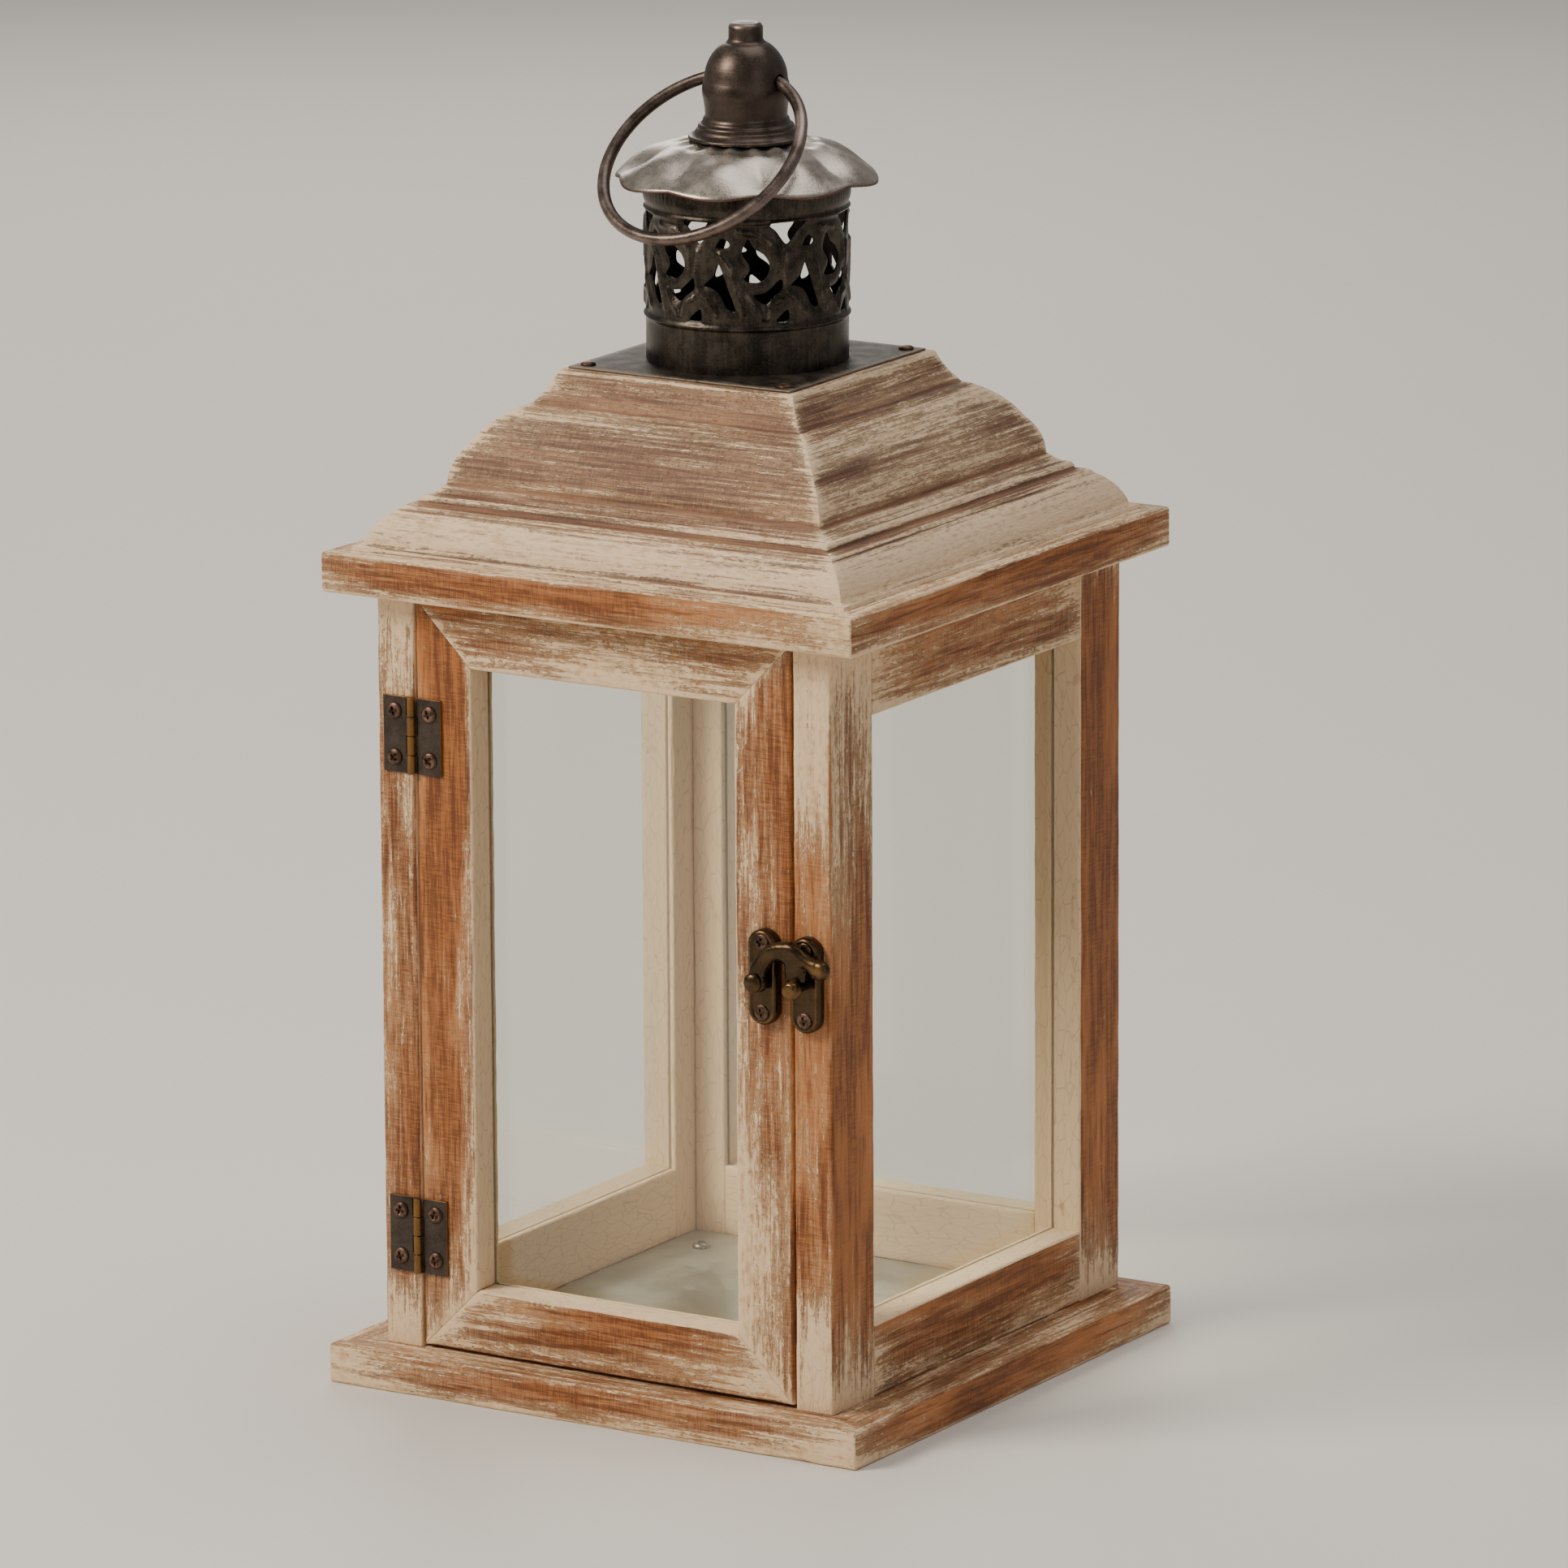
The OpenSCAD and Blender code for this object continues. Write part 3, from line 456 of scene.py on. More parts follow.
def outline(points, steps=10):
    """The outline through (x, y, bulge) points. Where the bulge to the right isn't 0, the way is an arc."""
    out = []
    for i, (x, y, bulge) in enumerate(points):
        p = np.array((x, y), float)
        q = np.array(points[(i + 1) % len(points)][:2], float)
        out.append(p)
        if bulge:
            way = q - p
            chord = np.linalg.norm(way)
            radius = (chord ** 2 / 4 + bulge ** 2) / (2 * bulge)
            centre = (p + q) / 2 + np.array((way[1], -way[0])) / chord * (bulge - radius)
            sweep = 4 * math.atan(2 * bulge / chord)
            for k in range(1, steps):
                c, s = unit(sweep * k / steps)
                arm = p - centre
                out.append(centre + (arm[0] * c - arm[1] * s, arm[0] * s + arm[1] * c))
    return np.array(out)


def lathe(profile, segments=96, closed=True):
    """A turned shape from (radius, height) points; a radius of 0 is a single point on the axis."""
    verts, rings = [], []
    for r, z in profile:
        if r < 1e-6:
            rings.append([len(verts)])
            verts.append((0, 0, z))
        else:
            rings.append(list(range(len(verts), len(verts) + segments)))
            verts += [(r * math.cos(a), r * math.sin(a), z) for a in np.arange(segments) * math.tau
                      / segments]
    faces = []
    pairs = zip(rings, rings[1:] + rings[:1]) if closed else zip(rings, rings[1:])
    for a, b in pairs:
        if len(a) == 1 and len(b) == 1:
            continue
        for i in range(segments):
            j = (i + 1) % segments
            loop = [a[i % len(a)], a[j % len(a)], b[j % len(b)], b[i % len(b)]]
            faces.append([v for k, v in enumerate(loop) if v not in loop[:k]])
    return np.array(verts, float), faces


def cuboid(low, high):
    low, high = np.asarray(low, float), np.asarray(high, float)
    verts = [[(low, high)[i][0], (low, high)[j][1],
              (low, high)[k][2]] for i in (0, 1) for j in (0, 1) for k in (0, 1)]
    return np.array(verts), [(0, 1, 3, 2), (4, 6, 7, 5), (0, 4, 5, 1), (2, 3, 7, 6), (0, 2, 6, 4),
                             (1, 5, 7, 3)]


def rounded_box(low, high, radius, step=3.0, arc=3):
    """A box with rounded edges and corners, drawn as a fine grid on its six faces."""
    low, high = np.asarray(low, float), np.asarray(high, float)
    lines = []
    for a, b in zip(low, high):
        bend = [radius * (1 - math.cos(math.pi / 2 * k / arc)) for k in range(arc + 1)]
        middle = np.linspace(a + radius, b - radius, max(2, int((b - a - 2 * radius) / step) + 1))
        lines.append(np.array([a + t for t in bend[:-1]] + list(middle)
                              + [b - t for t in reversed(bend[:-1])]))
    index, verts, faces = {}, [], []

    def corner(i, j, k):
        if (i, j, k) not in index:
            p = np.array((lines[0][i], lines[1][j], lines[2][k]))
            inner = np.clip(p, low + radius, high - radius)
            away = p - inner
            reach = np.linalg.norm(away)
            verts.append(inner + away / reach * radius if reach > 1e-9 else p)
            index[(i, j, k)] = len(verts) - 1
        return index[(i, j, k)]

    n = [len(line) - 1 for line in lines]
    for axis in range(3):
        u, v = (axis + 1) % 3, (axis + 2) % 3
        for end in (0, n[axis]):
            for i in range(n[u]):
                for j in range(n[v]):
                    loop = []
                    for di, dj in ((0, 0), (1, 0), (1, 1), (0, 1)):
                        at = [0, 0, 0]
                        at[axis], at[u], at[v] = end, i + di, j + dj
                        loop.append(corner(*at))
                    faces.append(loop)
    return np.array(verts), faces


# ---- Timber ----

GROOVE_BACK = 10.0
GROOVE_WIDTH = 2.2
GROOVE_DEPTH = 4.0
ARRIS = 0.8
END_ARRIS = 0.35
TIMBER_STEP = 4.0
FACE_STEP = 2.6


def timber_section(width, depth, grooved):
    """A member's cross-section: points (b, c), outward directions, how near an arris, and face names.

    The outer face is c = 0, the face towards the opening is b = width.
    """
    rows = []

    def face(p, q, away, name):
        p, q = np.array(p, float), np.array(q, float)
        count = max(2, round(np.linalg.norm(q - p) / FACE_STEP))
        rows.extend((p + (q - p) * k / count, away, 0.0, name) for k in range(count + 1))

    def arris(centre, first, name):
        for k in (1, 2):
            c, s = unit(math.radians(first + 30 * k))
            rows.append((np.array(centre) + np.array((c, s)) * ARRIS, (c, s), 1.0, name))

    r, w, d = ARRIS, width, depth
    face((r, 0), (w - r, 0), (0, -1), "outer")
    arris((w - r, r), -90, "reveal")
    if grooved:
        g0, g1 = GROOVE_BACK, GROOVE_BACK + GROOVE_WIDTH
        face((w, r), (w, g0), (1, 0), "reveal")
        face((w - GROOVE_DEPTH, g0), (w - GROOVE_DEPTH, g1), (0, 0), "reveal")
        face((w, g1), (w, d - r), (1, 0), "reveal")
    else:
        face((w, r), (w, d - r), (1, 0), "reveal")
    arris((w - r, d - r), 0, "inner")
    face((w - r, d), (r, d), (0, 1), "inner")
    arris((r, d - r), 90, "side")
    face((0, d - r), (0, r), (-1, 0), "side")
    arris((r, r), 180, "arris")
    points, away, near, names = zip(*rows)
    return np.array(points), np.array(away, float), np.array(near), list(names)


def lumps(places, seed, scale):
    """Smooth noise, from about -1 to 1, at each row of places."""
    return np.array([noise.noise(Vector(p) / scale
                                 + Vector((seed * 7.31, seed * 3.17, seed * 5.77))) for p in places])


def bar(section, start, end, seed, wander=0.1, dent=0.55, end_arris=END_ARRIS):
    """A bar with this cross-section, from a = start(b) to a = end(b). Returns its vertices as (a, b, c),
    its faces, and each vertex's distance from the nearer end."""
    points, away, near, _ = section
    n = len(points)
    first, last = start(points[:, 0]), end(points[:, 0])
    length = float((last - first).max())
    bend = [(end_arris * (1 - math.sin(t)),
             end_arris * (1 - math.cos(t))) for t in np.radians((90, 60, 30, 0))]
    rings = [(first + a, inset) for a, inset in bend]
    count = max(2, round((length - 2 * end_arris) / TIMBER_STEP))
    rings += [(first + end_arris + (last - first - 2 * end_arris) * k / count, 0) for k in range(1, count)]
    rings += [(last - a, inset) for a, inset in reversed(bend)]
    verts, reach = [], []
    for along, inset in rings:
        flat = np.column_stack((along, points))
        shift = wander * lumps(flat, seed, 26) - near * dent * np.clip(lumps(flat, seed + 9, 9), 0,
                                                                       1) - inset
        verts.append(np.column_stack((along, points + away * shift[:, None])))
        reach.append(np.minimum(along - first, last - along))
    faces = [[k * n + i, k * n + (i + 1) % n, (k + 1) * n + (i + 1) % n, (k + 1) * n + i]
             for k in range(len(rings) - 1) for i in range(n)]
    faces += [list(range(n)), list(range((len(rings) - 1) * n, len(rings) * n))]
    return np.concatenate(verts), faces, np.concatenate(reach)


def lay_grain(piece, local, seed, edges=False):
    """Writes the grain attribute. local holds each vertex's (along, across, deep) place. With edges, the
    streaks on the narrow faces run along those faces, as on a painted board."""
    mesh = piece.data
    mesh.attributes.new("grain", "FLOAT_VECTOR", "CORNER")
    shift = np.array((seed * 91.7 % 877, seed * 53.3 % 631, seed * 37.9 % 419))
    out = np.zeros((len(mesh.loops), 3), np.float32)
    for face in mesh.polygons:
        around = local[list(face.vertices)]
        if edges:
            spread = around.max(0) - around.min(0)
            middle = np.abs(around.mean(0))
            if spread[0] == spread.min() or (spread[2] == spread.min() and middle[0] > middle[1]):
                around = around[:, (1, 2, 0)]
            elif spread[1] == spread.min():
                around = around[:, (0, 2, 1)]
        out[face.loop_start:face.loop_start + face.loop_total] = around + shift
    mesh.attributes["grain"].data.foreach_set("vector", out.ravel())


def member(node, inward, towards, body, slot, seed, paint, mitred=False, strip=0.3, lean=0.0):
    """One grooved frame member in place of a CAD node. paint gives each face's share of whitewash: one level,
    or levels at places along the member from 0 to 1. strip is added along the outer face's edge at the
    opening, and lean is how much paler the outer face is there than at its other edge."""
    low, high = cad_box(node)
    inward, towards = np.array(inward, float), np.array(towards, float)
    along = np.abs(np.cross(inward, towards))
    size = high - low
    width, depth, length = (float(abs(size @ v)) for v in (towards, inward, along))
    origin = low * along + sum(np.where(v > 0, low, high) * np.abs(v) for v in (towards, inward))
    section = timber_section(width, depth, True)
    slope = 1.0 if mitred else 0.0
    verts, faces, reach = bar(section, lambda b: b * slope, lambda b: length - b * slope, seed)
    names = np.array(section[3] * (len(verts) // len(section[3])))
    level = np.zeros(len(verts))
    for face in set(section[3]):
        layout = paint.get(face, paint["outer"])
        places, levels = zip(*layout) if isinstance(layout, list) else ((0,), (layout,))
        level = np.where(names == face, np.interp(verts[:, 0] / length, places, levels), level)
    on_face = names == "outer"
    level += np.where(on_face, strip * np.exp(-((width - verts[:, 1]) / 3.5) ** 2) + lean
                      * (verts[:, 1] / width - 0.5), 0)
    level += 0.35 * np.exp(-reach / (3 if mitred else 10))
    world = origin + verts[:, :1] * along + verts[:, 1:2] * towards + verts[:, 2:] * inward
    piece = make(node + "_timber", world, faces, slot, body, [node], point=[("paint", level)])
    lay_grain(piece, verts, seed)
    return piece


# How much whitewash is left on each face, from 0 to about 1.2; a level below 0 darkens the bare timber as painted
# shade
INSIDE = {"reveal": 1.3, "inner": 1.6}
POST_LEFT = dict(INSIDE, side=[(0, 0.9), (0.12, 0.55), (0.35, 0.42), (0.6, 0.5), (0.85, 0.62), (1, 0.85)],
                 arris=0.45, outer=[(0, 0.8), (0.2, 0.4), (0.7, 0.45), (1, 0.8)])
POST_RIGHT = dict(INSIDE, side=[(0, 1.0), (0.11, 0.9), (0.17, 0.4), (0.45, 0.26), (0.7, 0.32), (0.8, 0.8),
                                (1, 1.1)],
                  arris=[(0, 0.8), (0.1, 0.4), (0.85, 0.1), (0.9, 0.7), (1, 1)],
                  outer=[(0, 0.8), (0.1, 0.4), (0.22, 0.0), (0.5, 0.1), (0.75, 0.6), (1, 0.85)])
# The back posts' outer faces fall to 0 and below over most of their height: dark brown timber, darkened further by
# painted shade.
POST_BACK = dict(INSIDE, side=0.4, arris=0.3,
                 outer=[(0, 0.8), (0.08, 0.4), (0.2, 0.05), (0.85, -0.1), (1, 0.4)])
RAIL = dict(INSIDE, side=0.8, arris=0.5, outer=0.42)


BACK_FRAME = dict(INSIDE, side=0.6, arris=0.4, outer=0.5)
DOOR_HINGE = dict(INSIDE, side=0.3, arris=0.15,
                  outer=[(0, 0.7), (0.12, 0.5), (0.3, 0.3), (0.85, 0.24), (0.95, 0.0), (1, 0.1)])
DOOR_LATCH = dict(INSIDE, side=0.3, arris=0.25, outer=[(0, 0.55), (0.2, 0.7), (0.45, 0.48), (1, 0.4)])
DOOR_TOP = dict(INSIDE, side=0.3, arris=0.2, outer=[(0, 0.45), (0.2, 0.62), (0.6, 0.74), (1, 0.55)])
DOOR_BOTTOM = dict(INSIDE, side=0.3, arris=0.6,
                   outer=[(0, 0.9), (0.16, 0.6), (0.35, 0.48), (0.7, 0.46), (0.88, 0.65), (1, 0.75)])


def add_frames():
    for k, (side, sign, post) in enumerate((("left", -1, POST_LEFT), ("right", 1, POST_RIGHT))):
        inward = -sign * X
        member(f"{side}_stile_front", inward, Y, "lantern", "wood_frame", 11 + k, post, strip=0.1)
        member(f"{side}_stile_back", inward, -Y, "lantern", "wood_frame", 13 + k, POST_BACK, strip=0.1)
        member(f"{side}_rail_top", inward, -Z, "lantern", "wood_frame", 15 + k, RAIL, lean=0.1)
        member(f"{side}_rail_bottom", inward, Z, "lantern", "wood_frame", 17 + k, RAIL, strip=-0.2,
               lean=-0.45)
    member("back_stile_left", -Y, X, "lantern", "wood_frame", 19, BACK_FRAME)
    member("back_stile_right", -Y, -X, "lantern", "wood_frame", 20, BACK_FRAME)
    member("back_rail_top", -Y, -Z, "lantern", "wood_frame", 21, BACK_FRAME)
    member("back_rail_bottom", -Y, Z, "lantern", "wood_frame", 22, BACK_FRAME)
    member("door_stile_hinge", Y, X, "door", "wood_door", 23, DOOR_HINGE, True, strip=0.45)
    member("door_stile_latch", Y, -X, "door", "wood_door", 24, DOOR_LATCH, True, strip=0.2, lean=0.15)
    member("door_rail_top", Y, -Z, "door", "wood_door", 25, DOOR_TOP, True, strip=0.2, lean=0.3)
    member("door_rail_bottom", Y, Z, "door", "wood_door", 26, DOOR_BOTTOM, True, strip=0.1, lean=-0.25)


def board(node, slot, seed, radius, paint, right=0.0, hole=None):
    """A square board with worn edges. paint gives its edges' level in the middle and at the corners, and its
    top's level, and right is added on its right edge, where a lower level is painted shade on the side away from
    the key light. hole is the diameter of the hole in its middle."""
    low, high = cad_box(node)
    verts, faces = rounded_box(low, high, radius, 4.0)
    inner = np.clip(verts, low + radius, high - radius)
    away = verts - inner
    edge = (np.abs(away) > 0.05).sum(1) >= 2
    bite = np.where(edge, 0.7 * np.clip(lumps(verts, seed + 3, 11), 0, 1), 0) - 0.1 * lumps(verts, seed, 30)
    norm = np.linalg.norm(away, axis=1, keepdims=True)
    verts = np.clip(verts - away / np.where(norm > 1e-6, norm, 1) * bite[:, None], low, high)
    upper = verts[:, 2] > high[2] - radius * 0.6
    under = verts[:, 2] < low[2] + radius * 0.6
    corner = np.abs(verts[:, :2]).min(1) / high[0]
    level = paint[0] + (paint[1] - paint[0]) * corner ** 4 + 0.5 * np.exp(-(verts[:, 2] - low[2]) / 2.0)
    # Painted shade: a lower level on the right side, which faces away from the key light.
    level += np.where(verts[:, 0] > high[0] - radius * 0.6, right, 0)
    level = np.where(upper, paint[2], np.where(under, 1.0, level))
    piece = make(node + "_timber", verts, faces, slot, "lantern", [node], point=[("paint", level)])
    lay_grain(piece, verts, seed, edges=True)
    if hole:
        middle = lathe([(hole / 2, low[2] - 5), (hole / 2, high[2] + 5), (0, high[2] + 5), (0, low[2] - 5)],
                       closed=False)
        cut(piece, *middle)
        piece.data.set_sharp_from_angle(angle=math.radians(40))
    return piece


# ---- Roof ----

ROOF_OUTLINE = [
    (93.5, 0, 0), (93.0, 1.2, -0.8), (90.4, 3.1, 1.1), (82.3, 12.7, 0.4), (80.2, 14, 0), (78.2, 14.3, 0),
    (77.6, 14.9, 0.7), (75.6, 17, -0.3), (72.2, 19.2, 0), (70.9, 20.2, 1.3), (65.7, 32.9, 1.2),
    (53.8, 44.3, 0.2), (50.8, 45.3, 0), (49.8, 46.7, -0.5), (44.7, 55.6, 0), (44.0, 56.2, 0),
    (35, 56.2, 0), (35, 50.2, 0), (79, 0, 0)]


ROOF_STEP = 1.5


def roof_section():
    """The moulding's cross-section as (distance out, height) points no more than ROOF_STEP apart, and how
    hollow it is at each: above 0 in a hollow, below 0 on an arris."""
    corners = outline(ROOF_OUTLINE, 8)
    points = []
    for p, q in zip(corners, np.roll(corners, -1, 0)):
        count = max(1, math.ceil(np.linalg.norm(q - p) / ROOF_STEP))
        points += [p + (q - p) * k / count for k in range(count)]
    points = np.array(points)
    way = np.roll(points, -1, 0) - np.roll(points, 1, 0)
    away = np.column_stack((way[:, 1], -way[:, 0])) / np.linalg.norm(way, axis=1, keepdims=True)
    turn = np.roll(points, -1, 0) - points
    back = points - np.roll(points, 1, 0)
    bend = turn[:, 0] * back[:, 1] - turn[:, 1] * back[:, 0]
    bend /= np.linalg.norm(turn, axis=1) * np.linalg.norm(back, axis=1)
    outside = (points[:, 1] > 0.05) & (points[:, 1] < 56.1) & (points[:, 0] > 36)
    hollow = np.where(outside, np.clip(bend * 2.5, -1, 1), 0)
    section = points, away, np.clip(-hollow, 0, 1) * 0.5, ["moulding"] * len(points)
    return section, hollow


# Levels of whitewash up the roof: (height above the eave board, level)
ROOF_PAINT = [(0, 0.75), (3, 1.0), (10, 0.8), (13, 0.6), (14.6, 0.2), (16, 0.6), (18.5, 0.55), (20, 0.2),
              (23, 0.42),
              (30, 0.38), (36, 0.5), (42, 0.62), (45, 0.45), (46.5, 0.2), (49, 0.45), (56, 0.5)]


def add_roof():
    section, hollow = roof_section()
    base_z = cad_box("roof_front")[0][2]
    heights, levels = zip(*ROOF_PAINT)
    for k, (name, outward,
            extra) in enumerate((("front", -Y, 0.0), ("right", X, 0.1), ("back", Y, 0.0),
                                 ("left", -X, 0.05))):
        verts, faces, reach = bar(section, lambda b: -b, lambda b: b, 31 + k, wander=0.12, dent=0.5,
                                  end_arris=0.3)
        out, up = verts[:, 1], verts[:, 2]
        level = np.interp(up, heights, levels) + extra + 0.5 * np.exp(-reach / 2.5)
        # Painted shade and highlight: less whitewash in the hollows, so they read darker, and more on the arrises,
        # so they read paler.
        level -= 0.35 * np.tile(hollow, len(verts) // len(hollow))
        side = np.cross(outward, Z)
        world = verts[:, :1] * side + out[:, None] * outward + (up + base_z)[:, None] * Z
        piece = make(f"roof_{name}_timber", world, faces, "wood_roof", "lantern", [f"roof_{name}"],
                     smooth=50,
                     point=[("paint", level)])
        lay_grain(piece, verts, 31 + k)


# ---- Chimney ----

DRUM_R = 33.0
DRUM_SHEET = 1.0
BAND_TOP = 15.2
SCREEN_TOP = 51.0
REPEATS = 7
PERIOD = math.tau * DRUM_R / REPEATS
CELL = 0.5
# Openings of one repeat of the scrollwork: (distance round, height above the lower bead)
OPENINGS = [
    [(-20.6, 1.6), (-15.9, 5.9), (-15.5, 1.4)],
    [(-15.2, 13.3), (-11.6, 16.8), (-9.7, 21.2), (-7.9, 18.2), (-6.0, 12.8), (-3.4, 5.2), (-7.0, 5.8),
     (-9.6, 10.4), (-12.0, 12.2)],
    [(1.7, 10.6), (6.2, 11.9), (11.3, 15.9), (12.0, 12.0), (8.6, 9.2), (5.6, 7.0)],
    [(-2.0, 24.2), (0.3, 29.3), (2.6, 26.2), (6.2, 23.6), (8.0, 19.8), (6.6, 16.0), (3.2, 14.2),
     (-1.4, 15.4), (0.6, 19.4)],
    [(-10.8, 25.8), (-8.4, 29.4), (-5.4, 27.6), (-6.4, 25.6)],
    [(-22.4, 34.0), (-20.0, 30.8), (-17.2, 27.0), (-15.4, 26.8), (-12.6, 30.2), (-9.2, 34.0)],
]
VEINS = [
    [(-16.5, 24.0), (-17.6, 18.0), (-17.0, 12.0), (-13.2, 8.8), (-10.0, 4.0)],
    [(-8.6, 23.6), (-5.2, 19.0), (-3.6, 12.0), (-1.0, 5.0)],
    [(-3.0, 31.5), (4.0, 30.5), (9.6, 25.6), (10.4, 18.6)],
    [(0.2, 10.8), (2.6, 6.6), (5.2, 3.2)],
    [(-23.0, 3.0), (-21.6, 7.6), (-18.4, 8.8)],
]


def rounded_loop(points, steps=6):
    """A closed Catmull-Rom curve through the points."""
    p = np.array(points, float)
    a, b, c, d = (np.roll(p, s, 0) for s in (1, 0, -1, -2))
    curve = [0.5 * (2 * b + (c - a) * t + (2 * a - 5 * b + 4 * c - d) * t ** 2 + (3 * b - a - 3 * c + d)
                    * t ** 3)
             for t in np.arange(steps) / steps]
    return np.stack(curve, 1).reshape(-1, 2)


def line_distance(places, path, closed):
    """Each place's distance from a path of points."""
    best = np.full(len(places), 1e9)
    for p, q in zip(path, np.roll(path, -1, 0)) if closed else zip(path[:-1], path[1:]):
        way = q - p
        t = np.clip(((places - p) @ way) / (way @ way), 0, 1)
        best = np.minimum(best, np.linalg.norm(places - p - t[:, None] * way, axis=1))
    return best


def inside_loop(places, path):
    x, y = places[:, 0], places[:, 1]
    hit = np.zeros(len(places), bool)
    for (x1, y1), (x2, y2) in zip(path, np.roll(path, -1, 0)):
        if y1 != y2:
            hit ^= ((y1 > y) != (y2 > y)) & (x < (x2 - x1) * (y - y1) / (y2 - y1) + x1)
    return hit


def screen_fields(u, h):
    """Distance from the nearest opening, below 0 inside it, and from the nearest vein, for one repeat."""
    places = np.column_stack((u.ravel(), h.ravel()))
    open_by, vein = np.full(len(places), 1e9), np.full(len(places), 1e9)
    for shift in (-PERIOD, 0, PERIOD):
        for points in OPENINGS:
            path = rounded_loop(points) + (shift, 0)
            far = line_distance(places, path, True)
            open_by = np.minimum(open_by, np.where(inside_loop(places, path), -far, far))
        for points in VEINS:
            vein = np.minimum(vein, line_distance(places, np.array(points) + (shift, 0), False))
    return open_by.reshape(u.shape), vein.reshape(u.shape)


def drum_radius(height, screen):
    """The drum's outer radius at a height: plain band, bead, scrollwork, bead and collar."""
    bead = sum(0.75 * math.exp(-((height - z) / 0.75) ** 2) for z in (BAND_TOP, SCREEN_TOP - 0.9))
    collar = 0.8 / (1 + math.exp(-(height - SCREEN_TOP - 1.6) * 2.2))
    return DRUM_R - (0.5 if screen else 0) + bead + collar


def sheet_mesh(field, place, half, loop=False):
    """Front and back skins of a sheet that is there where field is above 0 on its grid, with rims between.

    place(i, j, side) gives the point at grid place (i, j), which may lie between grid points. side is 1 for
    the front and 0 for the back. half says whether the skins meet at the border, so that it needs no rim.
    With loop the first grid direction closes on itself.
    """
    rows, columns = field.shape
    wrap = rows if loop else rows + 1
    verts, faces, index = [], [], {}

    def mark(p, q, side):
        """The vertex at grid point p, or where the border crosses the way from p to q."""
        (i, j), (k, l) = p, q
        share = 0.0
        if p != q:
            here, there = field[i % wrap, j], field[k % wrap, l]
            share = here / (here - there)
        side = 1 if half and p != q else side
        key = (i % wrap, j, k % wrap, l, side)
        if key not in index:
            index[key] = len(verts)
            verts.append(place(i + (k - i) * share, j + (l - j) * share, side))
        return index[key]

    for i in range(rows if loop else rows - 1):
        for j in range(columns - 1):
            ring = [(i, j), (i + 1, j), (i + 1, j + 1), (i, j + 1)]
            inside = [field[a % wrap, b] > 0 for a, b in ring]
            if not any(inside):
                continue
            loop_marks = []
            for n in range(4):
                p, q = ring[n], ring[(n + 1) % 4]
                if inside[n]:
                    loop_marks.append((p, p))
                if inside[n] != inside[(n + 1) % 4]:
                    loop_marks.append((p, q) if inside[n] else (q, p))
            front = [mark(*m, 1) for m in loop_marks]
            back = [mark(*m, 0) for m in loop_marks]
            faces += [front, back[::-1]]
            for n in range(len(front)):
                m = (n + 1) % len(front)
                crossing = loop_marks[n][0] != loop_marks[n][1] and loop_marks[m][0] != loop_marks[m][1]
                if crossing and not half:
                    faces.append([front[m], front[n], back[n], back[m]])
    return verts, faces, index


CAP_SHEET = 0.9
CAP_LOBES = 8
CAP_TURN = math.radians(16.7)
SCREEN_SHRINK = 0.35
DRUM_CLEARANCE = 0.45


def drum_crown(turn, cap_top):
    """How high the drum may reach under the cap's flutes, at this turn."""
    wave = cap_wave(turn)
    ripple = math.cos(2 * CAP_LOBES * (turn - CAP_TURN))
    return cap_top + min(cap_height(r, wave, ripple) for r in (DRUM_R - 1,
                                                               DRUM_R + 1.3)) - CAP_SHEET - DRUM_CLEARANCE


